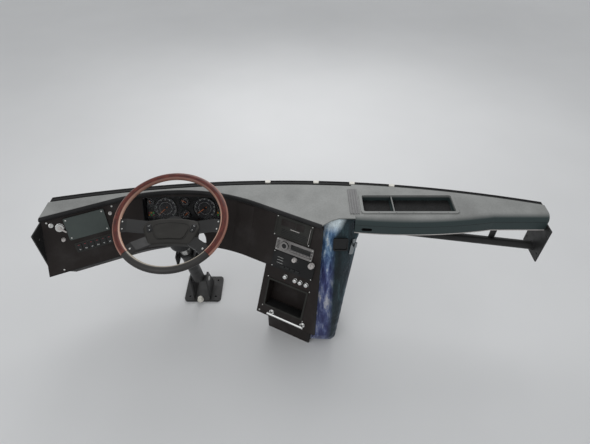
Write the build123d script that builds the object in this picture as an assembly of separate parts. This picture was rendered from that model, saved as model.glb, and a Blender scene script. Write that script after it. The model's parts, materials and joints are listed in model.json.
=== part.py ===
from build123d import *
import os
from math import cos, sin, sqrt, tan, radians, degrees, asin, atan2

# Driver's cockpit of a touring coach: wrap-around dashboard, side console,
# co-driver's shelf and the steering column with its wheel.
# Millimetres. X to the right, Y forward, Z up from the driver's floor.
# The origin is the middle of the column pedestal's bolt pattern on that floor.

# Plan of the cockpit: an arc round the driver with a straight wing each side
COCKPIT_Y = -795.0
FACE_TOP_R = 803.0
LEFT_YAW = 24.0
RIGHT_YAW = 27.0
LEFT_END_X = -606.0
CONSOLE_END_X = 660.0
CONSOLE_LEAN = 4.0
RIGHT_END_X = 1690.0
LEFT_RUN = 520.0
RIGHT_RUN = 440.0

# Windscreen base line
SCREEN_CROWN_X = 480.0
SCREEN_CROWN_Y = 52.0
SCREEN_R = 4600.0

# Heights and the sloping face
TOP_Z = 772.0
HOOD_H = 22.0
HOOD_NOSE = 23.0
HOOD_BACK = 10.0
HOOD_LAP = 11.0
FACE_TOP_Z = TOP_Z - 4.0
FACE_TILT = 26.0
FACE_EDGE = 20.5
FASCIA_DEPTH = 285.0
FASCIA_LIP = 36.0
ARCH_TOP = 196.0
ARCH_W = 196.0
SKIN = 5.0
TOP_SKIN = 6.0
SCREEN_DROP = 14.0
SCREEN_ROLL = 16.0
SCREEN_SKIRT = 14.0
PLAY = 0.5

# Instrument cluster
CLUSTER_W = 392.0
CLUSTER_H = 132.0
CLUSTER_MID = 101.0
CLUSTER_BOX_DEPTH = 64.0
CLUSTER_PLATE = 4.0
CLUSTER_RECESS = 24.0
CLUSTER_WALL = 4.0
RING_HEIGHT = 6.0
DIAL_THICK = 2.0
GLASS_THICK = 2.5

# Side console, up to its right side at the top, which leans in towards the floor.
# Its fittings follow one another down the face, and keep a margin from its left and right edges.
CONSOLE_START = 104.0
CONSOLE_KICK_R = 664.0
CONSOLE_DEEP = 57.0
UPPER_MARGINS = (10, 42)
UPPER_H = 100.0
UPPER_DROP = 26.0
RADIO_MARGINS = (34, 30)
RADIO_H = 60.0
RADIO_DROP = 6.0
RADIO_KNOB = (-46, 6, 20, 16)
RADIO_SLOT = (32, 21)
HEATER_MARGINS = (28, 20)
HEATER_H = 86.0
HEATER_DROP = 5.0
HEATER_KNOBS = [
    # off the panel's middle, up from it, radius, height
    (5, 29, 10, 14),
    (92, 33, 13, 18),
]
KNOB_ROW = [-23, 29, 56, 87]
KNOB_ROW_DROP = 29.0
BIN_MARGINS = (32, 54)
BIN_H = 148.0
BIN_DROP = 38.0
BIN_DEPTH = 72.0
RAIL_MARGINS = (70, 46)
RAIL_DROP = 24.0
RAIL_R = 6.0
RAIL_STAND = 26.0
FACE_FOOT = 30.0
UPPER_D = UPPER_DROP + UPPER_H / 2
RADIO_D = UPPER_D + UPPER_H / 2 + RADIO_DROP + RADIO_H / 2
HEATER_D = RADIO_D + RADIO_H / 2 + HEATER_DROP + HEATER_H / 2
KNOB_ROW_D = HEATER_D + HEATER_H / 2 + KNOB_ROW_DROP
BIN_D = KNOB_ROW_D + BIN_DROP + BIN_H / 2
RAIL_D = BIN_D + BIN_H / 2 + RAIL_DROP
CONSOLE_DEPTH = RAIL_D + FACE_FOOT

# Padded flank of the console, beside the entrance passage
FLANK_GAP = 0.4
FLANK_W = 180.0
FLANK_TAPER = 110.0
FLANK_BOARD = 10.0
FLANK_POCKET = 90.0
FLANK_FACET = 118.0
FLANK_TURN = 24.0
FLANK_HOOK = 32.0
FLANK_FITTING_Z = 645.0
FLANK_SLOPE = 190.0
FLANK_KICK_Z = 102.0
FLANK_EDGE = 24.0

# Co-driver's shelf
SHELF_START_X = CONSOLE_END_X + 151
SHELF_H = 84.0
LIP_R = 34.0
SHELF_FRONT_Y = -206.0
SHELF_BULGE_Y = -222.0
SHELF_END_Y = -190.0
SHELF_STRAIGHT_X = 1440.0
SHELF_SKIN = 6.0
TRAY_X0 = SHELF_START_X + 39
TRAY_X1 = TRAY_X0 + 425
TRAY_Y0 = -160.0
TRAY_Y1 = -42.0
TRAY_DEPTH = 34.0
TRAY_DIVIDER = 142.0
GRIP_X = SHELF_START_X + 56
GRIP_DROP = 60.0

# Steering column and wheel
RAKE = 17.0
WHEEL_Z = 800.0
WHEEL_R = 250.0
RIM_W = 34.0
RIM_T = 28.0
GRIP_HALF_ANGLE = 47.0
HUB_DROP = 52.0
HUB_R = 52.0
PAD_HALF_W = 126.0
PAD_TOP = 26.0
PAD_LOW = -106.0
PAD_T = 30.0
SPOKES = [
    # direction in degrees, width
    (-7, 60),
    (187, 60),
    (-42, 48),
    (-138, 48),
]
JACKET_R = 32.0
JACKET_WALL = 4.0
SHAFT_R = 14.0
PIVOT_Z = 170.0
PIVOT_R = 8.0
SHROUD_R = 56.0
RUN = 0.3
SHROUD_TOP = HUB_DROP + 17
SHROUD_LOW = 200.0
JACKET_TOP = 300.0
SLIDE_TOP = HUB_DROP + 17
SLIDE_LOW = 430.0
CLAMP_DOWN = 352.0

# Carrying frame
TUBE_R = 21.0
TUBE_WALL = 3.0
TUBE_Z = 556.0
TUBE_MID_Y = -30.0
TUBE_LEFT_Y = -165.0
TUBE_RIGHT_Y = -160.0
LEFT_BRACKET_Y = -200.0
LEFT_BRACKET_Z = 636.0
RIGHT_BRACKET_Z = 620.0
TUBE_BEND_R = 180.0
PLATE = 6.0
BOLT_R = 5.5
FLOOR_BOLT_X = 150.0
FLOOR_BOLT_Y = 120.0
WALL_BOLT = 120.0
FOOT_W = 120.0
FOOT_Y = -190.0
FOOT_BOLT = 80.0
FOOT_H = 120.0
KNEE_R = 846.0
KNEE_Z = 330.0
KNEE_THICK = 3.0
STAY_LEAD = 9.0
UNDER_TOP, UNDER_TRAY = TOP_Z - TOP_SKIN, TOP_Z - TRAY_DEPTH
STAYS = [
    # across, height of the underside that it carries, side that its foot turns to (1 forward)
    (-545, UNDER_TOP, 1),
    (-462, UNDER_TOP, 1),
    (320, UNDER_TOP, -1),
    (560, UNDER_TOP, -1),
    (SHELF_START_X + 105, UNDER_TOP, 1),
    (SHELF_START_X + 250, UNDER_TRAY, -1),
    (SHELF_START_X + 440, UNDER_TRAY, -1),
    (SHELF_START_X + 690, UNDER_TOP, -1),
]
STAY_W = 30.0
STAY_T = 5.0
STAY_FOOT = 18.0

TILT = radians(FACE_TILT)
RAKE_RAD = radians(RAKE)
WHEEL_Y = -WHEEL_Z * tan(RAKE_RAD)
SCREEN_Y = SCREEN_CROWN_Y - SCREEN_R
COLUMN_UP = Vector(0, -sin(RAKE_RAD), cos(RAKE_RAD))

SLIDE_R = JACKET_R - JACKET_WALL - RUN

# Small parts on the left wing: distance along the wing from its tangent point, distance down the face
BLANK_PANEL = (-134, 88, 178, 106)
KEY_LOCKS = [
    # along, down, radius, height
    (-246, 70, 17, 16),
    (-278, 52, 8, 10),
]
LEFT_KNOBS = [
    # along, down, radius, height
    (-249, 130, 8, 12),
    (-22, 66, 7, 12),
]
LEFT_SWITCHES = [-196 + 27 * k for k in range(7)]
SWITCH_D = 186.0
SWITCH_W = 22.0
SWITCH_H = 36.0

parts = {}


def ray_point(rho, yaw):
    """Plan point at radius rho from the cockpit centre, yaw degrees to the right of straight ahead."""
    return Vector(rho * sin(radians(yaw)), COCKPIT_Y + rho * cos(radians(yaw)), 0)


def wing_dir(yaw):
    """Plan direction to the right along a wing's tangent."""
    return Vector(cos(radians(yaw)), -sin(radians(yaw)), 0)


def radial_plane(yaw):
    """Upright section plane through the cockpit centre: local x outward, local y up, normal to the right."""
    a = radians(yaw)
    return Plane(origin=(0, COCKPIT_Y, 0), x_dir=(sin(a), cos(a), 0), z_dir=(cos(a), -sin(a), 0))


def face_plane(yaw):
    """Plane of the sloping face at a wing: local x to the right, local y up the slope from its top edge."""
    a = radians(yaw)
    origin = ray_point(FACE_TOP_R, yaw) + Vector(0, 0, FACE_TOP_Z)
    normal = (-sin(a) * cos(TILT), -cos(a) * cos(TILT), sin(TILT))
    return Plane(origin=origin, x_dir=(cos(a), -sin(a), 0), z_dir=normal)


LEFT_FACE = face_plane(-LEFT_YAW)
MID_FACE = face_plane(0)
RIGHT_FACE = face_plane(RIGHT_YAW)


def face_r(depth):
    """Radius of the sloping face at a distance down the slope."""
    return FACE_TOP_R - depth * sin(TILT)


def face_z(depth):
    """Height of the sloping face at a distance down the slope."""
    return FACE_TOP_Z - depth * cos(TILT)


def keep_box(x0, x1, y0=-1500, y1=800, z0=-50, z1=1200):
    """Block used to trim a piece to its own stretch."""
    return Pos((x0 + x1) / 2, (y0 + y1) / 2, (z0 + z1) / 2) * Box(x1 - x0, y1 - y0, z1 - z0)


def console_end_x(z):
    """The console's right side, which leans in towards the floor."""
    return CONSOLE_END_X - (TOP_Z - z) * tan(radians(CONSOLE_LEAN))


def console_side(points, out, gap=0.0):
    """Sheet a gap off the console's leaning right side, outlined by (forward, up) points."""
    lean = radians(CONSOLE_LEAN)
    side = Plane(origin=(CONSOLE_END_X, 0, TOP_Z), x_dir=(0, 1, 0), z_dir=(cos(lean), 0, -sin(lean)))
    outline = closed([(y, (z - TOP_Z) / cos(lean)) for y, z in points])
    return extrude(side.offset(gap) * outline, out)


def beyond_console(gap):
    """Everything to the right of the console's side, from a gap off it."""
    return console_side([(-1500, -500), (800, -500), (800, 1500), (-1500, 1500)], RIGHT_END_X, gap)


def console_span(depth, margins):
    """Middle and width of a console fitting between its margins, at a distance down the face."""
    start = CONSOLE_START + margins[0]
    edge_x = console_end_x(face_z(depth)) - ray_point(face_r(depth), RIGHT_YAW).X
    end = edge_x / cos(radians(RIGHT_YAW)) - margins[1]
    return (start + end) / 2, end - start


def around_cockpit(section, right_stop):
    """Carry an upright section along the left wing, round the arc and along the right wing."""
    left = section_at(section, -LEFT_YAW)
    body = extrude(left, -LEFT_RUN)
    axis = Axis((0, COCKPIT_Y, 0), (0, 0, -1))
    body += revolve(left, axis, LEFT_YAW + RIGHT_YAW)
    body += extrude(section_at(section, RIGHT_YAW), right_stop)
    return body


def section_at(section, yaw):
    """Place a flat section face on the upright plane at a yaw angle."""
    return radial_plane(yaw) * section


def closed(points):
    """Flat face inside a closed run of straight lines."""
    return make_face(Polyline(*points, close=True))


def cockpit_area(rho):
    """Plan face of everything nearer the driver than radius rho."""
    left, right = ray_point(rho, -LEFT_YAW), ray_point(rho, RIGHT_YAW)
    far_left = left - wing_dir(-LEFT_YAW) * 520
    far_right = right + wing_dir(RIGHT_YAW) * 700
    back_left, back_right = Vector(far_left.X, -1600, 0), Vector(far_right.X, -1600, 0)
    edges = [
        Line(far_left, left),
        ThreePointArc(left, ray_point(rho, 0), right),
        Line(right, far_right),
        Line(far_right, back_right),
        Line(back_right, back_left),
        Line(back_left, far_left),
    ]
    return make_face(edges)


def block_on(plane, s, d, width, height, out, into=0.0, corner=0.0):
    """Rounded plate on a face plane, from a depth below the face to a height above it."""
    plate = RectangleRounded(width, height, corner) if corner else Rectangle(width, height)
    return plane * Pos(s, -d, -into) * extrude(plate, out + into)


def disc_on(plane, s, d, radius, out, into=0.0):
    """Round boss on a face plane."""
    return plane * Pos(s, -d, -into) * extrude(Circle(radius), out + into)


# Black hood roll along the top edge of the face, with a lap that slides under the grey top
HOOD_EDGE_R = FACE_TOP_R - HOOD_BACK
HOOD_LAP_R = HOOD_EDGE_R + HOOD_LAP
HOOD_LOW_Z = TOP_Z - HOOD_H


def build_hood():
    tip = FACE_TOP_R - HOOD_NOSE
    nose = HOOD_H / 2
    lap_z = TOP_Z - TOP_SKIN - RUN
    outline = [
        Line((tip + nose, HOOD_LOW_Z), (HOOD_LAP_R, HOOD_LOW_Z)),
        Line((HOOD_LAP_R, HOOD_LOW_Z), (HOOD_LAP_R, lap_z - 6)),
        Line((HOOD_LAP_R, lap_z - 6), (HOOD_EDGE_R, lap_z)),
        Line((HOOD_EDGE_R, lap_z), (HOOD_EDGE_R, TOP_Z)),
        Line((HOOD_EDGE_R, TOP_Z), (tip + nose, TOP_Z)),
        ThreePointArc((tip + nose, TOP_Z), (tip, TOP_Z - nose), (tip + nose, HOOD_LOW_Z)),
    ]
    roll = around_cockpit(make_face(outline), RIGHT_RUN)
    return roll & keep_box(LEFT_END_X, CONSOLE_END_X)


# Grey top moulding between the hood and the windscreen
def screen_sheet(skin):
    """Sheet whose front edge rolls down all along the windscreen."""
    inner = SCREEN_R - 560
    roll = SCREEN_R - SCREEN_ROLL
    drop = TOP_Z - SCREEN_DROP
    low = drop - SCREEN_SKIRT
    sag = SCREEN_DROP * 0.24
    outline = [
        Line((inner, TOP_Z), (roll, TOP_Z)),
        ThreePointArc((roll, TOP_Z), (roll + SCREEN_ROLL * 0.5, TOP_Z - sag), (SCREEN_R, drop)),
        Line((SCREEN_R, drop), (SCREEN_R, low)),
        Line((SCREEN_R, low), (SCREEN_R - skin, low)),
        Line((SCREEN_R - skin, low), (SCREEN_R - skin, drop - skin)),
        ThreePointArc(
            (SCREEN_R - skin, drop - skin),
            (roll + SCREEN_ROLL * 0.5 - skin / 2, TOP_Z - sag - skin),
            (roll, TOP_Z - skin),
        ),
        Line((roll, TOP_Z - skin), (inner, TOP_Z - skin)),
        Line((inner, TOP_Z - skin), (inner, TOP_Z)),
    ]
    plane = Plane(origin=(SCREEN_CROWN_X, SCREEN_Y, 0), x_dir=(0, 1, 0), z_dir=(1, 0, 0))
    face = plane * make_face(outline)
    axis = Axis((SCREEN_CROWN_X, SCREEN_Y, 0), (0, 0, 1))
    return revolve(face, axis, 20) + revolve(face, axis, -20)


def build_top():
    sheet = screen_sheet(TOP_SKIN)
    sheet -= extrude(cockpit_area(HOOD_EDGE_R + RUN), TOP_Z + 100) & keep_box(2 * LEFT_END_X, CONSOLE_END_X)
    hood_end = ray_point(HOOD_EDGE_R, RIGHT_YAW) + wing_dir(RIGHT_YAW) * (
        (CONSOLE_END_X - ray_point(HOOD_EDGE_R, RIGHT_YAW).X) / cos(radians(RIGHT_YAW))
    )
    over_flank = SHELF_FRONT_Y + 8
    sheet -= extrude(closed([
        (CONSOLE_END_X, hood_end.Y - 4),
        (CONSOLE_END_X + 44, over_flank - 14),
        (CONSOLE_END_X + 80, over_flank),
        (SHELF_START_X + 100, over_flank),
        (SHELF_START_X + 100, -900),
        (CONSOLE_END_X, -900),
    ]), TOP_Z + 100)
    return sheet & keep_box(LEFT_END_X, SHELF_START_X)


# Moulded fascia sheet that carries the instruments, arched over the steering column
def build_fascia():
    deep = FASCIA_DEPTH
    outline = [
        (face_r(FACE_EDGE), face_z(FACE_EDGE)),
        (face_r(deep), face_z(deep)),
        (face_r(deep) + FASCIA_LIP, face_z(deep) - 4),
        (face_r(deep) + FASCIA_LIP, face_z(deep) - 4 + SKIN),
        (face_r(deep) + SKIN * 1.2, face_z(deep) + SKIN),
        (face_r(FACE_EDGE) + SKIN / cos(TILT), face_z(FACE_EDGE)),
    ]
    sheet = around_cockpit(closed(outline), CONSOLE_START)
    sheet &= keep_box(LEFT_END_X, CONSOLE_END_X)
    sheet -= block_on(MID_FACE, 0, CLUSTER_MID, CLUSTER_W, CLUSTER_H, 60, 60, 18)
    return sheet - block_on(MID_FACE, 0, ARCH_TOP + ARCH_W, ARCH_W, 2 * ARCH_W, 90, 90, 60)


# Instrument pod behind the fascia opening
GAUGES = [
    # across, down, radius
    (-96, CLUSTER_MID, 56),
    (96, CLUSTER_MID, 56),
    (0, CLUSTER_MID - 32, 26),
    (0, CLUSTER_MID + 32, 26),
    (-170, CLUSTER_MID - 30, 20),
    (170, CLUSTER_MID - 30, 20),
]


def build_cluster():
    rim = CLUSTER_RECESS + 30
    wide, high = CLUSTER_W - 2 * CLUSTER_WALL, CLUSTER_H - 2 * CLUSTER_WALL
    box = block_on(MID_FACE, 0, CLUSTER_MID, CLUSTER_W - PLAY, CLUSTER_H - PLAY, rim, CLUSTER_BOX_DEPTH, 18)
    box -= block_on(MID_FACE, 0, CLUSTER_MID, wide, high, rim, CLUSTER_RECESS, 14)
    box -= (
        block_on(MID_FACE, 0, CLUSTER_MID, wide, high, 0, CLUSTER_BOX_DEPTH - CLUSTER_WALL, 14)
        - block_on(MID_FACE, 0, CLUSTER_MID, CLUSTER_W, CLUSTER_H, 0, CLUSTER_RECESS + CLUSTER_PLATE)
    )
    trim = around_cockpit(closed([
        (face_r(-60), face_z(-60)),
        (face_r(400), face_z(400)),
        (face_r(400) - 500, face_z(400)),
        (face_r(-60) - 500, face_z(-60)),
    ]), 10)
    return box - trim


def build_gauges():
    rings, dials = [], []
    for across, down, radius in GAUGES:
        spot = MID_FACE * Pos(across, -down, -CLUSTER_RECESS)
        dials.append(spot * extrude(Circle(radius - 4), DIAL_THICK))
        rings.append(spot * extrude(Circle(radius) - Circle(radius - 4), RING_HEIGHT))
    return Compound(children=rings), Compound(children=dials)


def build_cluster_glass():
    wide, high = CLUSTER_W - 2 * CLUSTER_WALL - PLAY, CLUSTER_H - 2 * CLUSTER_WALL - PLAY
    return block_on(MID_FACE, 0, CLUSTER_MID, wide, high, GLASS_THICK - 14, 14, 14)


# Console block that turns to the driver, from the hood down to the floor
RADIO_S, RADIO_W = console_span(RADIO_D, RADIO_MARGINS)
HEATER_S, HEATER_W = console_span(HEATER_D, HEATER_MARGINS)
UPPER_S, UPPER_W = console_span(UPPER_D, UPPER_MARGINS)
BIN_S, BIN_W = console_span(BIN_D, BIN_MARGINS)
RAIL_S, RAIL_W = console_span(RAIL_D, RAIL_MARGINS)
CONSOLE_BACK_R = FACE_TOP_R + CONSOLE_DEEP


def console_section(inset):
    deep = CONSOLE_DEPTH
    slope = inset / cos(TILT)
    return closed([
        (face_r(FACE_EDGE) + slope, face_z(FACE_EDGE)),
        (face_r(deep) + slope, face_z(deep)),
        (CONSOLE_KICK_R + inset, face_z(deep) + inset),
        (CONSOLE_KICK_R + inset, 0),
        (CONSOLE_BACK_R, 0),
        (CONSOLE_BACK_R, face_z(FACE_EDGE)),
    ])


def build_console():
    plane = radial_plane(RIGHT_YAW)
    outer = extrude(plane * Pos(0, 0, CONSOLE_START) * console_section(0), RIGHT_RUN)
    inner = extrude(plane * Pos(0, 0, CONSOLE_START + SKIN) * console_section(SKIN), RIGHT_RUN)
    shell = outer - inner - beyond_console(0)
    for s, d, width, height in (
        (RADIO_S, RADIO_D, RADIO_W - 16, RADIO_H - 8),
        (HEATER_S, HEATER_D, HEATER_W - 16, HEATER_H - 12),
        (BIN_S, BIN_D, BIN_W, BIN_H),
    ):
        shell -= block_on(RIGHT_FACE, s, d, width, height, 20, 40, 4)
    return shell


def build_bin():
    wall = 3
    box = block_on(RIGHT_FACE, BIN_S, BIN_D, BIN_W - PLAY, BIN_H - PLAY, 3, BIN_DEPTH, 4)
    box -= block_on(RIGHT_FACE, BIN_S, BIN_D, BIN_W - 2 * wall, BIN_H - 2 * wall, 3, BIN_DEPTH - wall, 3)
    return box


def build_rail():
    reach = RAIL_W / 2 - 12
    bar = Rot(0, 90, 0) * Cylinder(RAIL_R, RAIL_W)
    rail = RIGHT_FACE * Pos(RAIL_S, -RAIL_D, RAIL_STAND) * bar
    for s in (RAIL_S - reach, RAIL_S + reach):
        rail += disc_on(RIGHT_FACE, s, RAIL_D, 7, RAIL_STAND)
        rail += disc_on(RIGHT_FACE, s, RAIL_D, 13, 4)
    return rail


# Padded side of the console
FLANK_FRONT_Y = (ray_point(CONSOLE_BACK_R, RIGHT_YAW) + wing_dir(RIGHT_YAW) * CONSOLE_START).Y
FLANK_TOP_Z = TOP_Z - TOP_SKIN - FLANK_GAP
FLANK_TOP_Y = SHELF_FRONT_Y + 2
FLANK_LEAN = degrees(asin(FLANK_SLOPE / sqrt(FLANK_SLOPE ** 2 + (FLANK_TOP_Z - FLANK_KICK_Z) ** 2)))


def flank_profile(y_shift, z_low):
    """Side outline of the flank: a rear edge that slopes down to a kick, then the floor."""
    return [
        (FLANK_TOP_Y + y_shift, FLANK_TOP_Z),
        (FLANK_TOP_Y + y_shift - FLANK_SLOPE, FLANK_KICK_Z),
        (FLANK_TOP_Y + y_shift - FLANK_SLOPE + 40, z_low),
        (FLANK_FRONT_Y, z_low),
        (FLANK_FRONT_Y, FLANK_TOP_Z),
    ]


def on_flank(x):
    """Place on the flank's sloping rear, level with its fittings, z outward from it."""
    y = FLANK_TOP_Y - FLANK_SLOPE * (FLANK_TOP_Z - FLANK_FITTING_Z) / (FLANK_TOP_Z - FLANK_KICK_Z)
    return Pos(x, y, FLANK_FITTING_Z) * Rot(90 - FLANK_LEAN, 0, 0)


def on_facet():
    """Place on the right part of the flank's rear, which is turned away from the driver."""
    draw_in = degrees(atan2(FLANK_TAPER, FLANK_TOP_Z))
    return on_flank(CONSOLE_END_X + FLANK_FACET) * Rot(0, 0, -draw_in) * Rot(0, FLANK_TURN, 0)


def console_edge_y(rho, z):
    """Where a radius on the right wing meets the console's side."""
    start = ray_point(rho, RIGHT_YAW)
    return start.Y - (console_end_x(z) - start.X) * tan(radians(RIGHT_YAW))


def build_board():
    """Board that closes the console's side, cut along the edge of its face and kick."""
    low_z = face_z(CONSOLE_DEPTH)
    top_z = face_z(FACE_EDGE)
    board = console_side([
        (console_edge_y(face_r(FACE_EDGE), top_z), top_z),
        (console_edge_y(face_r(CONSOLE_DEPTH), low_z), low_z),
        (console_edge_y(CONSOLE_KICK_R, low_z), low_z),
        (console_edge_y(CONSOLE_KICK_R, 0), -FLANK_BOARD),
        (FLANK_FRONT_Y, -FLANK_BOARD),
        (FLANK_FRONT_Y, FLANK_TOP_Z),
        (FLANK_TOP_Y + FLANK_EDGE, FLANK_TOP_Z),
        (FLANK_TOP_Y + FLANK_EDGE, top_z),
    ], FLANK_BOARD)
    return board & keep_box(0, RIGHT_END_X, z0=0)


def build_flank():
    pad_x = CONSOLE_END_X + FLANK_BOARD + FLANK_GAP
    start_x = console_end_x(0)
    pad_side = Plane(origin=(start_x, 0, 0), x_dir=(0, 1, 0), z_dir=(1, 0, 0))
    pad = extrude(pad_side * closed(flank_profile(0, 12)), pad_x + FLANK_W - start_x)
    pad &= beyond_console(FLANK_BOARD + FLANK_GAP)
    right = pad_x + FLANK_W
    wedge = closed([
        (right, FLANK_TOP_Z),
        (right + 200, FLANK_TOP_Z),
        (right + 200, 0),
        (right - FLANK_TAPER, 0),
    ])
    from_behind = Plane(origin=(0, 500, 0), x_dir=(1, 0, 0), z_dir=(0, -1, 0))
    pad -= extrude(from_behind * wedge, 1200)
    pad -= on_facet() * Pos(200, 0, 100) * Box(400, 2 * TOP_Z, 200)
    upright = pad.edges().filter_by(lambda e: abs(e.tangent_at(0.5).Z) > 0.5 and e.length > 300)
    pad = fillet(upright.filter_by(lambda e: e.center().Y < FLANK_TOP_Y - 20), FLANK_EDGE)
    under_shelf = keep_box(SHELF_START_X - FLANK_GAP, RIGHT_END_X, z0=TOP_Z - SHELF_H - FLANK_GAP)
    return pad - under_shelf


def build_flank_pocket():
    plate = extrude(RectangleRounded(70, 66, 9), 6) - Pos(0, 0, 1.5) * extrude(RectangleRounded(58, 54, 6), 6)
    return on_flank(CONSOLE_END_X + FLANK_POCKET) * Pos(0, 0, FLANK_GAP) * plate


def build_flank_hook():
    base = extrude(RectangleRounded(22, 84, 8), 5)
    arm = Pos(0, 12, 14) * Box(8, 10, 20) + Pos(0, 20, 23) * Box(12, 26, 6)
    return on_facet() * Pos(FLANK_HOOK, -14, FLANK_GAP) * (base + arm)


# Co-driver's shelf with its rolled front lip and long tray
def shelf_area(inset=0.0):
    x0, x1 = SHELF_START_X + inset, RIGHT_END_X - inset
    screen_r = SCREEN_R - inset
    y_at = lambda x: SCREEN_Y + sqrt(screen_r ** 2 - (x - SCREEN_CROWN_X) ** 2)
    mid_x = (x0 + SHELF_STRAIGHT_X) / 2
    front = [Vector(x0, SHELF_FRONT_Y + inset), Vector(mid_x, SHELF_BULGE_Y + inset)]
    end_a, end_b = Vector(SHELF_STRAIGHT_X, SHELF_END_Y + inset), Vector(x1, SHELF_END_Y + inset)
    screen_mid = (x0 + x1) / 2
    edges = [
        ThreePointArc(front[0], front[1], end_a),
        Line(end_a, end_b),
        Line(end_b, (x1, y_at(x1))),
        ThreePointArc((x1, y_at(x1)), (screen_mid, y_at(screen_mid)), (x0, y_at(x0))),
        Line((x0, y_at(x0)), front[0]),
    ]
    return make_face(edges)


def shelf_form(inset, low):
    """Block with the shelf's outline and rolled rear lip, drawn in by a wall."""
    top = TOP_Z - inset
    body = Pos(0, 0, low) * extrude(shelf_area(inset), top - low)
    lip = body.edges().filter_by(lambda e: e.center().Y < -150 and abs(e.center().Z - top) < 1)
    return fillet(lip, LIP_R - inset)


def build_shelf():
    low = TOP_Z - SHELF_H
    mid_x, mid_y = (TRAY_X0 + TRAY_X1) / 2, (TRAY_Y0 + TRAY_Y1) / 2
    mouth = RectangleRounded(TRAY_X1 - TRAY_X0, TRAY_Y1 - TRAY_Y0, 12)
    opening = Pos(mid_x, mid_y, TOP_Z - 20) * extrude(mouth, 40)
    grip = Rot(90, 0, 0) * extrude(SlotOverall(46, 18), 30, both=True)
    grip = Pos(GRIP_X, SHELF_FRONT_Y, TOP_Z - GRIP_DROP) * grip
    return shelf_form(0, low) - shelf_form(SHELF_SKIN, low - 1) - opening - grip


def build_tray():
    mid_x, mid_y = (TRAY_X0 + TRAY_X1) / 2, (TRAY_Y0 + TRAY_Y1) / 2
    wide, deep, wall = TRAY_X1 - TRAY_X0, TRAY_Y1 - TRAY_Y0, 3
    low = TOP_Z - TRAY_DEPTH
    tray = Pos(mid_x, mid_y, low) * extrude(RectangleRounded(wide - PLAY, deep - PLAY, 12), TRAY_DEPTH)
    tray += Pos(mid_x, mid_y, TOP_Z) * extrude(RectangleRounded(wide + 20, deep + 20, 18), 4)
    tray -= Pos(mid_x, mid_y, low + wall) * extrude(RectangleRounded(wide - 2 * wall, deep - 2 * wall, 9), 60)
    tray += Pos(TRAY_X0 + TRAY_DIVIDER, mid_y, low + TRAY_DEPTH / 2) * Box(4, deep - wall, TRAY_DEPTH)
    return tray


STRIP_W = 44.0
STRIP_MID_Y = (SHELF_FRONT_Y + SCREEN_CROWN_Y - SCREEN_ROLL) / 2
STRIP_LEN = SCREEN_CROWN_Y - SCREEN_ROLL - SHELF_FRONT_Y - 2 * LIP_R


def build_joint_strip():
    left = SHELF_START_X - STRIP_W / 2
    strip = Pos(SHELF_START_X, STRIP_MID_Y, TOP_Z + 1) * Box(STRIP_W, STRIP_LEN, 2)
    for k in range(4):
        strip += Pos(left + 5 + k * (STRIP_W - 10) / 3, STRIP_MID_Y, TOP_Z + 3) * Box(5, STRIP_LEN, 4)
    return strip


# Black strip and pale clips along the windscreen
def screen_arc_block(r0, r1, z0, z1, x0, x1):
    base = Pos(SCREEN_CROWN_X, SCREEN_Y, z0)
    ring = base * extrude(Circle(r1) - Circle(r0), z1 - z0)
    return ring & keep_box(x0, x1, -400, 400)


STRIP_DEEP = 28.0
CLIP_X = (407, 643, 818, 1009)


def build_screen_strip():
    z0, z1 = TOP_Z - SCREEN_DROP - SCREEN_SKIRT, TOP_Z - SCREEN_DROP + 6
    strip = screen_arc_block(SCREEN_R + RUN, SCREEN_R + STRIP_DEEP, z0, z1, LEFT_END_X, RIGHT_END_X)
    clips = []
    for x in CLIP_X:
        y = SCREEN_Y + sqrt((SCREEN_R + STRIP_DEEP / 2) ** 2 - (x - SCREEN_CROWN_X) ** 2)
        turn = -degrees(asin((x - SCREEN_CROWN_X) / (SCREEN_R + STRIP_DEEP / 2)))
        clips.append(Pos(x, y, z1) * Rot(0, 0, turn) * extrude(RectangleRounded(26, 18, 6), 8))
    return strip, Compound(children=clips)


# Carrying tube, end brackets and floor foot
TUBE_POINTS = [
    (LEFT_END_X, TUBE_LEFT_Y),
    (-200, TUBE_MID_Y),
    (880, TUBE_MID_Y),
    (RIGHT_END_X, TUBE_RIGHT_Y),
]


def tube_y(x):
    """Centre line of the carrying tube in plan, apart from its bends."""
    for (x0, y0), (x1, y1) in zip(TUBE_POINTS, TUBE_POINTS[1:]):
        if x0 <= x <= x1:
            return y0 + (y1 - y0) * (x - x0) / (x1 - x0)


def build_tube():
    path = FilletPolyline(*[(x, y, TUBE_Z) for x, y in TUBE_POINTS], radius=TUBE_BEND_R)
    plane = Plane(origin=path @ 0, z_dir=path % 0)
    tube = sweep(plane * (Circle(TUBE_R) - Circle(TUBE_R - TUBE_WALL)), path=path)
    return tube & keep_box(LEFT_END_X, RIGHT_END_X)


def wall_bracket(x, y, z, depth, height):
    """Upright end plate with four bolt holes; x is its inner face's outer neighbour."""
    plate = Pos(x, y, z) * Rot(0, 90, 0) * Box(height, depth, PLATE)
    for dy in (-0.5, 0.5):
        for dz in (-0.5, 0.5):
            hole = Rot(0, 90, 0) * Cylinder(BOLT_R, 3 * PLATE)
            plate -= Pos(x, y + dy * WALL_BOLT, z + dz * WALL_BOLT) * hole
    return plate


def build_brackets():
    left = wall_bracket(LEFT_END_X - PLATE / 2, LEFT_BRACKET_Y, LEFT_BRACKET_Z, 180, 220)
    right = wall_bracket(RIGHT_END_X + PLATE / 2, TUBE_RIGHT_Y, RIGHT_BRACKET_Z, 150, 200)
    return left, right


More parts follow.
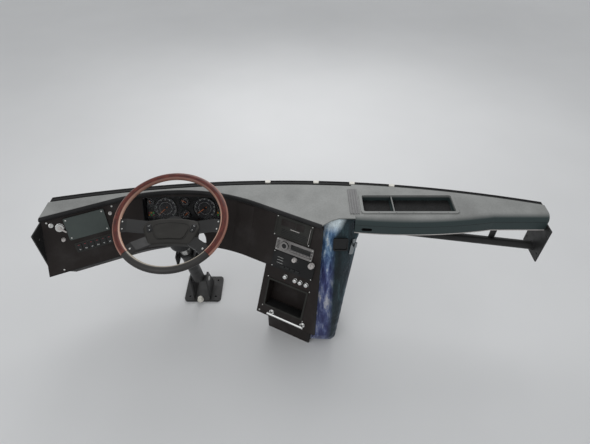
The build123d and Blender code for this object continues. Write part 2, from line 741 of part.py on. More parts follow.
def build_stays():
    stays = []
    for x, top, side in STAYS:
        y = tube_y(x) + STAY_LEAD
        bar = Pos(x, y, (TUBE_Z + top) / 2) * Box(STAY_W, STAY_T, top - TUBE_Z)
        bar += Pos(x, y + side * (STAY_FOOT - STAY_T) / 2, top - STAY_T / 2) * Box(STAY_W, STAY_FOOT, STAY_T)
        turn = degrees(atan2(tube_y(x + 5) - tube_y(x - 5), 10))
        bar -= Pos(x, tube_y(x), TUBE_Z) * Rot(0, 0, turn) * Rot(0, 90, 0) * Cylinder(TUBE_R + RUN, 200)
        bar -= keep_box(x - 50, x + 50, y - 100, y + 100, 0, TUBE_Z)
        stays.append(bar)
    return Compound(children=stays)


def build_foot():
    middle_x = console_end_x(0) - FOOT_W / 2
    rear, front = FOOT_Y - FOOT_W / 2, FOOT_Y + FOOT_W / 2
    foot = Pos(middle_x, FOOT_Y, PLATE / 2) * Box(FOOT_W, FOOT_W, PLATE)
    foot += console_side([(rear, 0), (front, 0), (front, FOOT_H), (rear, FOOT_H)], -PLATE)
    for x in (-0.5, 0.5):
        for y in (-0.5, 0.5):
            foot -= Pos(middle_x + x * FOOT_BOLT, FOOT_Y + y * FOOT_BOLT, PLATE / 2) * Cylinder(BOLT_R, 20)
    return foot & keep_box(0, RIGHT_END_X, z0=0)


def build_knee_panel():
    top_r, top_z = face_r(FASCIA_DEPTH) + FASCIA_LIP + PLAY, face_z(FASCIA_DEPTH)
    outline = [(top_r, top_z), (KNEE_R, KNEE_Z), (KNEE_R + KNEE_THICK, KNEE_Z), (top_r + KNEE_THICK, top_z)]
    sheet = around_cockpit(closed(outline), CONSOLE_START)
    sheet &= keep_box(LEFT_END_X, CONSOLE_END_X)
    return sheet - keep_box(-ARCH_W / 2, ARCH_W / 2, z0=KNEE_Z + 90)


# Steering column: pedestal on the floor, tilting jacket, sliding jacket and wheel
PIVOT_Y = -PIVOT_Z * tan(RAKE_RAD)
PIVOT = Vector(0, PIVOT_Y, PIVOT_Z)
WHEEL_POINT = Vector(0, WHEEL_Y, WHEEL_Z)
WHEEL_PLANE = Plane(origin=WHEEL_POINT, x_dir=(1, 0, 0), z_dir=COLUMN_UP)
COLUMN_LEN = (WHEEL_POINT - PIVOT).length


def on_column(distance):
    """Plane square to the column, a distance below the wheel's middle."""
    return Plane(origin=WHEEL_POINT - COLUMN_UP * distance, x_dir=(1, 0, 0), z_dir=COLUMN_UP)


def build_pedestal():
    base = extrude(RectangleRounded(FLOOR_BOLT_X + 60, FLOOR_BOLT_Y + 60, 20), 12)
    for x in (-0.5, 0.5):
        for y in (-0.5, 0.5):
            base -= Pos(x * FLOOR_BOLT_X, y * FLOOR_BOLT_Y, 6) * Cylinder(BOLT_R, 20)
    cheek_x, cheek_t = JACKET_R + 8, 10
    body = base
    for side in (-1, 1):
        plane = Plane(origin=(side * cheek_x, 0, 0), x_dir=(0, 1, 0), z_dir=(1, 0, 0))
        outline = closed([(-70, 12), (55, 12), (PIVOT_Y + 30, PIVOT_Z + 20), (PIVOT_Y - 30, PIVOT_Z + 20)])
        cheek = extrude(plane * outline, side * cheek_t)
        body += cheek
    body -= Pos(0, PIVOT_Y, PIVOT_Z) * Rot(0, 90, 0) * Cylinder(PIVOT_R + 0.05, 200)
    return body


def build_jacket():
    low = COLUMN_LEN - 12
    tube = on_column(low) * extrude(Circle(JACKET_R), low - JACKET_TOP)
    tube -= on_column(low - 60) * extrude(Circle(JACKET_R - JACKET_WALL), low)
    across = Pos(PIVOT.X, PIVOT.Y, PIVOT.Z) * Rot(0, 90, 0)
    tube += across * Cylinder(PIVOT_R + 12, 2 * (JACKET_R + 6))
    tube += across * Cylinder(PIVOT_R, 2 * (JACKET_R + 22))
    return tube


def build_slider():
    tube = on_column(SLIDE_LOW) * extrude(Circle(SLIDE_R) - Circle(SHAFT_R + 4), SLIDE_LOW - SLIDE_TOP)
    for down in (SLIDE_TOP + 16, 320):
        tube += on_column(down) * extrude(Circle(SHAFT_R + 6) - Circle(SHAFT_R + RUN), 16)
    return tube


def shroud_form(inset):
    """Tapering body of the column shroud, drawn in by a wall."""
    tall = SHROUD_LOW - SHROUD_TOP - 2 * inset
    return on_column(SHROUD_LOW - inset) * extrude(Circle(SHROUD_R - inset), tall, taper=2)


def build_shroud():
    bore = on_column(SHROUD_LOW + 1) * extrude(Circle(SLIDE_R), SHROUD_LOW - SHROUD_TOP + 2)
    return shroud_form(0) - shroud_form(SKIN) - bore


def build_stalks():
    stalks = []
    for side, angle, reach in ((-1, 14, 128), (1, 10, 120)):
        plane = on_column(92) * Rot(0, 0, angle * side)
        bar = plane * Pos(side * (SHROUD_R + reach / 2 - 6), 0, 0) * Rot(0, 90, 0) * Cylinder(6, reach)
        tip = plane * Pos(side * (SHROUD_R + reach - 6), 0, 0) * Rot(0, 90, 0) * Cylinder(9, 44)
        stalks.append(bar + tip - shroud_form(0))
    return Compound(children=stalks)


def rim_arc(start, stop):
    upright = Plane(origin=(WHEEL_R - RIM_W / 2, 0, 0), x_dir=(1, 0, 0), z_dir=(0, -1, 0))
    section = upright * Ellipse(RIM_W / 2, RIM_T / 2)
    arc = revolve(Rot(0, 0, start) * section, Axis.Z, stop - start)
    return WHEEL_PLANE * arc


def pad_outline():
    """Shield outline of the hub pad: bowed top, sides that draw in, arched foot."""
    top, low = PAD_HALF_W - 16, PAD_HALF_W - 34
    edges = [
        ThreePointArc((-top, PAD_TOP - 14), (0, PAD_TOP), (top, PAD_TOP - 14)),
        Line((top, PAD_TOP - 14), (PAD_HALF_W, -24)),
        Line((PAD_HALF_W, -24), (low, PAD_LOW)),
        ThreePointArc((low, PAD_LOW), (0, PAD_LOW + 9), (-low, PAD_LOW)),
        Line((-low, PAD_LOW), (-PAD_HALF_W, -24)),
        Line((-PAD_HALF_W, -24), (-top, PAD_TOP - 14)),
    ]
    face = make_face(edges)
    return fillet(face.vertices(), 14)


def build_wheel():
    wood = rim_arc(-90 + GRIP_HALF_ANGLE, 270 - GRIP_HALF_ANGLE)
    grip = rim_arc(-90 - GRIP_HALF_ANGLE, -90 + GRIP_HALF_ANGLE)
    inner = WHEEL_R - RIM_W + 6
    frame = Pos(0, 0, -HUB_DROP - 10) * extrude(Circle(HUB_R), 12)
    side_view = Plane.XZ * closed([
        (30, -HUB_DROP - 6),
        (78, -HUB_DROP - 6),
        (inner - 30, -5),
        (inner, -5),
        (inner, 5),
        (inner - 34, 5),
        (74, -HUB_DROP + 4),
        (30, -HUB_DROP + 4),
    ])
    for angle, width in SPOKES:
        frame += Rot(0, 0, angle) * Pos(0, width / 2, 0) * extrude(side_view, width)
    spokes = WHEEL_PLANE * frame - wood - grip
    pad = extrude(pad_outline(), PAD_T)
    pad = fillet(pad.edges().group_by(Axis.Z)[-1], 10)
    pad = WHEEL_PLANE * Pos(0, 0, -HUB_DROP + 2) * pad - spokes
    shaft = on_column(336) * extrude(Circle(SHAFT_R), 336 - HUB_DROP - 10)
    return wood, grip, spokes, pad, shaft


def build_yoke():
    outline = closed([
        (-196, 438),
        (-196, 505),
        (-110, 526),
        (TUBE_MID_Y - 40, TUBE_Z - 14),
        (TUBE_MID_Y - 28, TUBE_Z + 30),
        (TUBE_MID_Y + 30, TUBE_Z + 30),
        (TUBE_MID_Y + 30, TUBE_Z - 28),
        (TUBE_MID_Y - 22, TUBE_Z - 58),
        (-70, 438),
    ])
    cheek_x, cheek_t = JACKET_R + 8, 6
    clamp = WHEEL_POINT - COLUMN_UP * CLAMP_DOWN
    yoke = Pos(0, TUBE_MID_Y + TUBE_R + RUN + 4, TUBE_Z) * Box(2 * cheek_x, 8, 56)
    for side in (-1, 1):
        plane = Plane(origin=(side * cheek_x, 0, 0), x_dir=(0, 1, 0), z_dir=(1, 0, 0))
        yoke += extrude(plane * outline, side * cheek_t)
    slot = Plane(origin=(-100, clamp.Y, clamp.Z), x_dir=(0, cos(RAKE_RAD), sin(RAKE_RAD)), z_dir=(1, 0, 0))
    yoke -= extrude(slot * SlotOverall(92, 14), 200)
    yoke -= Pos(0, TUBE_MID_Y, TUBE_Z) * Rot(0, 90, 0) * Cylinder(TUBE_R + RUN, 400)
    return yoke


def build_tilt_lever():
    clamp = WHEEL_POINT - COLUMN_UP * CLAMP_DOWN
    out = JACKET_R + 16
    pin = Pos(clamp.X, clamp.Y, clamp.Z) * Rot(0, 90, 0) * Cylinder(5, 2 * out + 24)
    pin -= on_column(CLAMP_DOWN + 60) * extrude(Circle(JACKET_R), 120)
    nut = Pos(-out + 2 - 5 - RUN, clamp.Y, clamp.Z) * Rot(0, 90, 0) * Cylinder(11, 10)
    arm = Pos(out - 2 + 4.5 + RUN, clamp.Y, clamp.Z) * Rot(0, 90, 0) * Cylinder(12, 9)
    grip = Pos(out + 3, clamp.Y - 46, clamp.Z + 14) * Rot(-17, 0, 0) * Box(8, 92, 16)
    return pin + nut + arm + grip


# Small fittings on the faces
def build_small_parts():
    s, d, width, height = BLANK_PANEL
    parts["left_panel"] = block_on(LEFT_FACE, s, d, width, height, 9, 0, 6)
    parts["key_locks"] = Compound(children=[disc_on(LEFT_FACE, *lock) for lock in KEY_LOCKS])
    parts["left_knobs"] = Compound(children=[disc_on(LEFT_FACE, *knob) for knob in LEFT_KNOBS])
    rockers = [block_on(LEFT_FACE, x, SWITCH_D, SWITCH_W, SWITCH_H, 7, 0, 2) for x in LEFT_SWITCHES]
    parts["left_switches"] = Compound(children=rockers)
    upper = block_on(RIGHT_FACE, UPPER_S, UPPER_D, UPPER_W, UPPER_H, 5, 0, 6)
    upper -= block_on(RIGHT_FACE, UPPER_S, UPPER_D, UPPER_W - 16, UPPER_H - 16, 9, -3.5, 4)
    parts["upper_panel"] = upper
    radio = block_on(RIGHT_FACE, RADIO_S, RADIO_D, RADIO_W, RADIO_H, 8, 0, 5)
    radio += block_on(RIGHT_FACE, RADIO_S, RADIO_D, RADIO_W - 18, RADIO_H - 10, 0, 60, 3)
    off, edge = RADIO_SLOT
    radio -= block_on(RIGHT_FACE, RADIO_S + off, RADIO_D, RADIO_W - 2 * off - edge, RADIO_H - edge, 20, -5, 2)
    parts["radio_unit"] = radio
    off, up, radius, height = RADIO_KNOB
    parts["radio_knob"] = disc_on(RIGHT_FACE, RADIO_S + off, RADIO_D - up, radius, 8 + height, -8)
    heater = block_on(RIGHT_FACE, HEATER_S, HEATER_D, HEATER_W, HEATER_H, 5, 0, 5)
    heater += block_on(RIGHT_FACE, HEATER_S, HEATER_D, HEATER_W - 18, HEATER_H - 14, 0, 30, 3)
    parts["heater_panel"] = heater
    knobs = []
    for off, up, radius, height in HEATER_KNOBS:
        knobs.append(disc_on(RIGHT_FACE, HEATER_S + off, HEATER_D - up, radius, 5 + height, -5))
    parts["heater_knobs"] = Compound(children=knobs)
    row = [disc_on(RIGHT_FACE, HEATER_S + off, KNOB_ROW_D, 9, 14) for off in KNOB_ROW]
    parts["knob_row"] = Compound(children=row)


def build_all():
    parts["hood_roll"] = build_hood()
    parts["dash_top"] = build_top()
    parts["fascia_shell"] = build_fascia()
    parts["cluster_pod"] = build_cluster()
    parts["gauge_rings"], parts["gauge_dials"] = build_gauges()
    parts["console_shell"] = build_console()
    parts["console_bin"] = build_bin()
    parts["bin_rail"] = build_rail()
    parts["flank_board"] = build_board()
    parts["flank_pad"] = build_flank()
    parts["shelf_shell"] = build_shelf()
    parts["shelf_tray"] = build_tray()
    parts["joint_strip"] = build_joint_strip()
    parts["flank_pocket"] = build_flank_pocket()
    parts["flank_hook"] = build_flank_hook()
    parts["cluster_glass"] = build_cluster_glass()
    parts["tube_stays"] = build_stays()
    parts["console_foot"] = build_foot()
    parts["knee_panel"] = build_knee_panel()
    parts["tilt_lever"] = build_tilt_lever()
    build_small_parts()
    parts["screen_strip"], parts["screen_clips"] = build_screen_strip()
    parts["cross_tube"] = build_tube()
    parts["left_bracket"], parts["right_bracket"] = build_brackets()
    parts["column_pedestal"] = build_pedestal()
    parts["column_jacket"] = build_jacket()
    parts["column_slider"] = build_slider()
    parts["column_shroud"] = build_shroud()
    parts["column_stalks"] = build_stalks()
    parts["column_yoke"] = build_yoke()
    (
        parts["rim_wood"],
        parts["rim_grip"],
        parts["wheel_spokes"],
        parts["wheel_pad"],
        parts["steering_shaft"],
    ) = build_wheel()


build_all()
os.makedirs("parts", exist_ok=True)
for name, solid in parts.items():
    export_step(solid, f"parts/{name}.step")
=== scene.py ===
import json
import math

import bmesh
import bpy
from mathutils import Matrix, Vector


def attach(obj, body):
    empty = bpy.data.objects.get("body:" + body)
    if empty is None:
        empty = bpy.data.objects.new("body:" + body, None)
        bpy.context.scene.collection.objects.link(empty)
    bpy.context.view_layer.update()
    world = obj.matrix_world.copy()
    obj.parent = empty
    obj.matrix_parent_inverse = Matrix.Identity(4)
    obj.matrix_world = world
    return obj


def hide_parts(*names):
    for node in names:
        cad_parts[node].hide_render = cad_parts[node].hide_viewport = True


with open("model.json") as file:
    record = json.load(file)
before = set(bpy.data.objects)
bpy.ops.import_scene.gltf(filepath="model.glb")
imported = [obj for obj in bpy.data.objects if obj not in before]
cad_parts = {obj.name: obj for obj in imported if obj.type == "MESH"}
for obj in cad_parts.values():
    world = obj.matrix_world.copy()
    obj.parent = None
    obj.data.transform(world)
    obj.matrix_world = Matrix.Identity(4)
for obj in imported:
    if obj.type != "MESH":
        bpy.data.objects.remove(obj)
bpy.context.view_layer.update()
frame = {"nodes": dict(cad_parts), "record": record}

# Places and sizes in metres, as the frame has them
COCKPIT_Y = -0.795
FACE_TOP_R = 0.803
FACE_TOP_Z = 0.768
FACE_TILT = math.radians(26)
LEFT_YAW = math.radians(-24)
RIGHT_YAW = math.radians(27)
LEFT_END_X = -0.606
CONSOLE_END_X = 0.66
CONSOLE_START = 0.104
CONSOLE_LEAN = math.radians(4)
ARCH_HALF = 0.1
TOP_Z = 0.772
RIGHT_END_X = 1.69
SCREEN_X = 0.48
SCREEN_R = 4.6
SCREEN_Y = 0.052 - SCREEN_R
RAKE = math.radians(17)
WHEEL_CENTRE = Vector((0, -0.2446, 0.8))
WHEEL_R = 0.25
RIM_W = 0.034

# Camera: the photograph's place and direction, with a longer lens
CAMERA_PLACE = Vector((0.54, -1.6446, 2.13))
CAMERA_PITCH = math.radians(43.7)
PHOTO_FOCAL_PX = 222
PHOTO_WIDTH_PX = 590
ZOOM = 2
SENSOR_MM = 36


def plan_point(radius, yaw, z):
    """Point at a radius from the cockpit centre, yaw radians to the right of straight ahead."""
    return Vector((radius * math.sin(yaw), COCKPIT_Y + radius * math.cos(yaw), z))


def wing_line(yaw):
    """Direction to the right along a wing of the dash."""
    return Vector((math.cos(yaw), -math.sin(yaw), 0))


def face_frame(yaw):
    """Frame of the sloping face at a wing: x to the right, y up the slope, z outward."""
    flat = math.cos(FACE_TILT)
    normal = Vector((-math.sin(yaw) * flat, -math.cos(yaw) * flat, math.sin(FACE_TILT)))
    along = wing_line(yaw)
    place = Matrix((along, normal.cross(along), normal)).transposed().to_4x4()
    place.translation = plan_point(FACE_TOP_R, yaw, FACE_TOP_Z)
    return place


def at(place, x, y, z=0):
    """Frame moved along its own axes."""
    return place @ Matrix.Translation((x, y, z))


def turned(place, degrees, axis="Z"):
    """Frame turned about one of its own axes."""
    return place @ Matrix.Rotation(math.radians(degrees), 4, axis)


def turns(count):
    """Angles in radians that share a full turn evenly."""
    return [2 * math.pi * k / count for k in range(count)]


def added(name, data):
    """New object in the scene."""
    obj = bpy.data.objects.new(name, data)
    bpy.context.collection.objects.link(obj)
    return obj


LEFT_FACE = face_frame(LEFT_YAW)
MID_FACE = face_frame(0)
RIGHT_FACE = face_frame(RIGHT_YAW)
WORLD = Matrix()
WHEEL_FRAME = at(WORLD, *WHEEL_CENTRE) @ Matrix.Rotation(RAKE, 4, "X")


# Materials by name, and the helper that makes them
MATERIALS = {}


class Shader:
    """Adds nodes to one material and links them."""

    def __init__(self, name):
        self.name = name
        self.material = bpy.data.materials.new(name)
        self.material.use_nodes = True
        tree = self.material.node_tree
        self.nodes, self.links = tree.nodes, tree.links
        self.bsdf = self.nodes["Principled BSDF"]
        self.coords = self.nodes.new("ShaderNodeTexCoord").outputs["Object"]

    def add(self, kind, **values):
        node = self.nodes.new(kind)
        for key, value in values.items():
            if key in node.inputs:
                node.inputs[key].default_value = value
            else:
                setattr(node, key, value)
        return node

    def link(self, source, target):
        self.links.new(source, target)

    def feed(self, socket, value):
        """Link an output to a socket, or set the socket to a colour or a number."""
        if hasattr(value, "is_linked"):
            self.link(value, socket)
        else:
            socket.default_value = (*value, 1) if isinstance(value, tuple) else value

    def noise(self, scale, detail=4, rough=0.55, stretch=None):
        node = self.add("ShaderNodeTexNoise", Scale=scale, Detail=detail, Roughness=rough)
        self.link(self.stretched(stretch), node.inputs["Vector"])
        return node.outputs["Fac"]

    def cells(self, scale):
        node = self.add("ShaderNodeTexVoronoi", Scale=scale, feature="F1")
        self.link(self.coords, node.inputs["Vector"])
        return node.outputs["Distance"]

    def stretched(self, stretch):
        if stretch is None:
            return self.coords
        mapping = self.add("ShaderNodeMapping", Scale=stretch)
        self.link(self.coords, mapping.inputs["Vector"])
        return mapping.outputs["Vector"]

    def split(self, vector=None):
        """X, y and z of a vector, or else of the point being shaded."""
        node = self.add("ShaderNodeSeparateXYZ")
        self.link(self.coords if vector is None else vector, node.inputs["Vector"])
        return node.outputs

    def ramp(self, factor, *stops):
        node = self.add("ShaderNodeValToRGB")
        elements = node.color_ramp.elements
        while len(elements) < len(stops):
            elements.new(0.5)
        for element, (place, colour) in zip(elements, stops):
            element.position = place
            element.color = (*colour, 1)
        self.link(factor, node.inputs["Fac"])
        return node.outputs["Color"]

    def grey_ramp(self, factor, low_at, low, high_at, high):
        return self.ramp(factor, (low_at, (low,) * 3), (high_at, (high,) * 3))

    def mix(self, factor, first, second, blend="MIX"):
        node = self.add("ShaderNodeMix", data_type="RGBA", blend_type=blend)
        for socket, value in zip([i for i in node.inputs if i.enabled], (factor, first, second)):
            self.feed(socket, value)
        return next(o for o in node.outputs if o.enabled)

    def math(self, operation, first, second=0):
        node = self.add("ShaderNodeMath", operation=operation)
        for socket, value in zip(node.inputs, (first, second)):
            self.feed(socket, value)
        return node.outputs["Value"]

    def plus(self, first, second):
        return self.math("ADD", first, second)

    def minus(self, first, second):
        return self.math("SUBTRACT", first, second)

    def times(self, first, second):
        return self.math("MULTIPLY", first, second)

    def bump(self, height, distance, strength, under=None):
        node = self.add("ShaderNodeBump", Strength=strength, Distance=distance)
        self.link(height, node.inputs["Height"])
        if under is not None:
            self.link(under, node.inputs["Normal"])
        return node.outputs["Normal"]

    def set(self, **values):
        """Feed the surface and keep the material under its name."""
        for key, value in values.items():
            self.feed(self.bsdf.inputs[key.replace("_", " ")], value)
        MATERIALS[self.name] = self.material


def shade(colour, factor):
    """A colour made darker or lighter."""
    return tuple(c * factor for c in colour)


def moulding(name, colour, rough, grain=420, depth=0.00025, dust=0.02, lip=None):
    """Grained moulded plastic, a little dusty. Its lip is two heights and the darker colour it takes below
    them, a painted shade.
    """
    shader = Shader(name)
    pale = tuple(c + (1 - c) * dust for c in colour)
    base = shader.ramp(shader.noise(7, 5), (0.3, shade(colour, 0.82)), (0.52, colour), (0.8, pale))
    fine = shader.grey_ramp(shader.noise(160, 2), 0.35, 0.94, 0.7, 1.06)
    tone = shader.mix(1, base, fine, "MULTIPLY")
    # Painted shade: below the lip's heights the moulding takes the darker lip colour.
    if lip:
        low, high, lip_shade_colour = lip
        above = shader.add("ShaderNodeMapRange", **{"From Min": low, "From Max": high})
        shader.link(shader.split()["Z"], above.inputs["Value"])
        tone = shader.mix(above.outputs["Result"], lip_shade_colour, tone)
    roughness = shader.grey_ramp(shader.noise(18, 4), 0.3, rough - 0.07, 0.7, rough + 0.09)
    normal = shader.bump(shader.cells(grain), depth, 0.6)
    shader.set(Base_Color=tone, Roughness=roughness, Normal=normal, Specular_IOR_Level=0.22)


def painted(name, colour, rough, chips):
    """Painted steel with orange peel and a few rubbed spots."""
    shader = Shader(name)
    rubbed = shader.grey_ramp(shader.noise(38, 6, 0.7), 0.68, 0, 0.78, 0.55)
    tone = shader.ramp(shader.noise(9), (0.3, shade(colour, 0.85)), (0.75, shade(colour, 1.2)))
    base = shader.mix(rubbed, tone, chips)
    roughness = shader.grey_ramp(shader.noise(24), 0.3, rough - 0.06, 0.7, rough + 0.14)
    normal = shader.bump(shader.noise(240, 2), 0.00018, 0.5)
    shader.set(Base_Color=base, Roughness=roughness, Normal=normal, Specular_IOR_Level=0.35)


def metal(name, colour, rough):
    """Bare metal with fine drawn lines."""
    shader = Shader(name)
    lines = shader.noise(180, 3, 0.6, (1, 1, 12))
    base = shader.ramp(lines, (0.3, shade(colour, 0.86)), (0.7, colour))
    roughness = shader.grey_ramp(lines, 0.3, rough - 0.08, 0.7, rough + 0.1)
    normal = shader.bump(lines, 0.00008, 0.4)
    shader.set(Base_Color=base, Roughness=roughness, Normal=normal, Metallic=1)


def rubber(name, colour):
    """Dull black rubber with a fine grain."""
    shader = Shader(name)
    tone = shader.ramp(shader.noise(30), (0.3, shade(colour, 0.8)), (0.75, shade(colour, 1.5)))
    normal = shader.bump(shader.noise(600, 2), 0.0002, 0.5)
    shader.set(Base_Color=tone, Roughness=0.72, Normal=normal, Specular_IOR_Level=0.3)


def lens(name, colour, rough=0.15):
    """Small coloured lamp lens, print or glossy plastic."""
    shader = Shader(name)
    tone = shader.ramp(shader.noise(220), (0.35, shade(colour, 0.8)), (0.7, colour))
    shader.set(Base_Color=tone, Roughness=rough, Specular_IOR_Level=0.4)


def clear_cover():
    """Thin clear cover with faint smears."""
    shader = Shader("clear_cover")
    smears = shader.grey_ramp(shader.noise(22, 5), 0.35, 0.03, 0.75, 0.16)
    shader.set(
        Base_Color=(0.9, 0.93, 0.94), Roughness=smears, Transmission_Weight=1, IOR=1.3, Alpha=0.35,
    )


def rim_polar(shader):
    """Distance from the axis, angle round it, height, place ahead and way in from the edge, as outputs."""
    turn = (RAKE, 0, 0)
    mapping = shader.add("ShaderNodeMapping", vector_type="TEXTURE", Location=WHEEL_CENTRE, Rotation=turn)
    shader.link(shader.coords, mapping.inputs["Vector"])
    x, y, z = shader.split(mapping.outputs["Vector"])
    radius = shader.math("SQRT", shader.plus(shader.times(x, x), shader.times(y, y)))
    inward = shader.times(shader.minus(WHEEL_R, radius), 30)
    return radius, shader.math("ARCTAN2", y, x), z, y, inward


def rim_wood():
    """Varnished red-brown wood whose grain runs round the rim, with paler edges that are painted highlights,
    the inner one stronger on the lower side.
    """
    shader = Shader("rim_wood")
    radius, angle, z, ahead, inward = rim_polar(shader)
    across = shader.add("ShaderNodeCombineXYZ")
    for axis, output, scale in (("X", radius, 60), ("Y", angle, 2.4), ("Z", z, 60)):
        shader.link(shader.times(output, scale), across.inputs[axis])
    grain = shader.add("ShaderNodeTexNoise", Scale=3.2, Detail=7, Roughness=0.62, Distortion=0.7)
    shader.link(across.outputs["Vector"], grain.inputs["Vector"])
    wood = shader.ramp(
        grain.outputs["Fac"],
        (0.3, (0.024, 0.004, 0.003)),
        (0.48, (0.078, 0.012, 0.007)),
        (0.6, (0.125, 0.021, 0.012)),
        (0.78, (0.2, 0.05, 0.029)),
    )
    # Painted highlights: a pale line along the inner edge, stronger on the lower side of the wheel, and a
    # pale line along the outer edge.
    inner_highlight_below = shader.grey_ramp(shader.plus(shader.times(ahead, 2), 0.5), 0.45, 1, 0.88, 0.25)
    inner = shader.times(shader.grey_ramp(inward, 0.79, 0, 0.86, 0.92), inner_highlight_below)
    outer = shader.grey_ramp(inward, 0.12, 0.55, 0.22, 0)
    base = shader.mix(outer, shader.mix(inner, wood, (0.64, 0.4, 0.3)), (0.52, 0.27, 0.2))
    normal = shader.bump(grain.outputs["Fac"], 0.0002, 0.35)
    shader.set(
        Base_Color=base, Roughness=0.4, Normal=normal, Specular_IOR_Level=0.35,
        Coat_Weight=0.15, Coat_Roughness=0.12,
    )


def rim_grip():
    """Black grained grip with the rim's pale line along its inner edge, a painted highlight."""
    shader = Shader("rim_black")
    tone = shader.ramp(shader.noise(26), (0.3, (0.012, 0.011, 0.01)), (0.75, (0.024, 0.021, 0.019)))
    # Painted highlight: pale line along the inner edge.
    line = shader.grey_ramp(rim_polar(shader)[-1], 0.76, 0, 0.82, 0.85)
    normal = shader.bump(shader.cells(600), 0.0002, 0.6)
    base = shader.mix(line, tone, (0.44, 0.39, 0.32))
    shader.set(Base_Color=base, Roughness=0.42, Normal=normal)


def plush():
    """Crushed plush with white streaks of painted sheen: steel blue over violet by the console, with the
    steel blue upper part and a pale crown as painted highlight, painted shade darkening it towards the foot,
    and dark teal on the far side as painted shade.
    """
    shader = Shader("blue_plush")
    across, _, height = shader.split()
    # The streaks are the crushed pile's pattern; their near-white peaks are painted sheen.
    streaks = shader.noise(13, 7, 0.68, (2.2, 1.4, 0.38))
    low = shader.ramp(
        streaks,
        (0.36, (0.03, 0.034, 0.135)),
        (0.47, (0.08, 0.098, 0.29)),
        (0.55, (0.24, 0.3, 0.58)),
        (0.63, (0.86, 0.87, 0.96)),
    )
    # Lighter steel-blue copy for the upper part, a painted highlight, taking over between 0.56 and 0.7 m.
    high = shader.ramp(
        streaks,
        (0.36, (0.03, 0.082, 0.185)),
        (0.46, (0.095, 0.2, 0.39)),
        (0.53, (0.29, 0.47, 0.7)),
        (0.61, (0.86, 0.95, 0.99)),
    )
    upper_highlight_height = shader.plus(height, shader.times(streaks, 0.2))
    near = shader.mix(shader.grey_ramp(upper_highlight_height, 0.56, 0, 0.7, 1), low, high)
    # Painted shade: the near side darkens towards the foot, below 0.56 m, to at most 0.62 of a near-black
    # blue.
    near = shader.mix(shader.grey_ramp(height, 0.08, 0.62, 0.56, 0), near, (0.01, 0.012, 0.026))
    # Painted shade: dark teal copy of the plush for the far side, which faces away from the light.
    far = shader.ramp(
        streaks,
        (0.36, (0.004, 0.01, 0.013)),
        (0.52, (0.01, 0.025, 0.031)),
        (0.66, (0.04, 0.085, 0.098)),
    )
    # Edge between the near side and the painted shade of the far side: made ragged by noise and moved by
    # height above 0.68 m.
    near_top = shader.times(shader.math("MAXIMUM", shader.minus(height, 0.68), 0), 0.55)
    ragged = shader.minus(shader.times(shader.noise(24), 0.012), near_top)
    edge = shader.plus(across, ragged)
    # Painted highlight: a pale crown along the top of the pad.
    crown = shader.grey_ramp(height, 0.695, 0, 0.74, 0.9)
    near = shader.mix(crown, near, (0.74, 0.84, 0.87))
    base = shader.mix(shader.grey_ramp(edge, 0.706, 0, 0.736, 1), near, far)
    tufts = shader.grey_ramp(shader.noise(240, 4, 0.7), 0.32, 0.72, 0.68, 1.22)
    base = shader.mix(1, base, tufts, "MULTIPLY")
    crushed = shader.bump(shader.noise(46, 6, 0.66, (1.4, 1.4, 0.6)), 0.006, 0.8)
    normal = shader.bump(shader.noise(520, 3), 0.0014, 0.8, crushed)
    shader.set(
        Base_Color=base, Roughness=0.85, Normal=normal, Sheen_Weight=0.45, Sheen_Roughness=0.35,
        Sheen_Tint=(0.75, 0.82, 1),
    )


TOP_GREY = (0.245, 0.25, 0.243)
# Painted shade on the shelf's rear lip: below 0.759 to 0.7705 m it turns dark teal-grey.
SHELF_LIP_SHADE = (0.759, 0.7705, (0.036, 0.052, 0.053))
moulding("black_soft", (0.011, 0.011, 0.0115), 0.5)
moulding("grey_top", TOP_GREY, 0.48, 380, 0.00022, 0.05)
moulding("dark_fascia", (0.016, 0.012, 0.0108), 0.52)
moulding("panel_grey", (0.023, 0.023, 0.02), 0.45)
lens("black_gloss", (0.008, 0.0085, 0.009), 0.26)
moulding("dial_face", (0.02, 0.02, 0.022), 0.6, 900, 0.0001)
clear_cover()
painted("grey_green", (0.048, 0.06, 0.056), 0.4, (0.1, 0.11, 0.1))
metal("steel", (0.62, 0.62, 0.6), 0.32)
moulding("light_grey", (0.5, 0.47, 0.455), 0.4, 700, 0.0001, 0.1)
painted("radio_grey", (0.215, 0.205, 0.2), 0.34, (0.34, 0.33, 0.32))
metal("chrome", (0.8, 0.8, 0.79), 0.16)
metal("worn_chrome", (0.3, 0.32, 0.33), 0.22)
plush()
moulding("board", (0.017, 0.0155, 0.0148), 0.6, dust=0.03)
moulding("shelf_grey", TOP_GREY, 0.48, 380, 0.00022, 0.05, SHELF_LIP_SHADE)
moulding("strip_grey", (0.195, 0.193, 0.193), 0.5, dust=0.04)
rubber("rubber", (0.012, 0.012, 0.012))
moulding("pale_plastic", (0.68, 0.66, 0.6), 0.4, 700, 0.0001, 0.1)
painted("black_paint", (0.014, 0.014, 0.014), 0.42, (0.05, 0.048, 0.045))
rim_wood()
rim_grip()
moulding("pad_grey", (0.028, 0.0265, 0.024), 0.5, 520, 0.0002, 0.03)
lens("red_lens", (0.22, 0.022, 0.025))
lens("amber_lens", (0.6, 0.24, 0.03))
lens("green_lens", (0.05, 0.34, 0.08))
lens("white_print", (0.75, 0.76, 0.74), 0.5)
lens("orange_print", (0.85, 0.22, 0.04), 0.5)


# CAD nodes that take another finish than their slot's
NODE_FINISHES = {"joint_strip": "strip_grey", "radio_unit": "radio_grey", "flank_hook": "worn_chrome"}


def dress_cad_nodes():
    slots = {part["node"]: part["material_slot"] for part in frame["record"]["subparts"]}
    for node, obj in frame["nodes"].items():
        for slot in obj.material_slots:
            slot.material = MATERIALS[NODE_FINISHES.get(node, slots[node])]


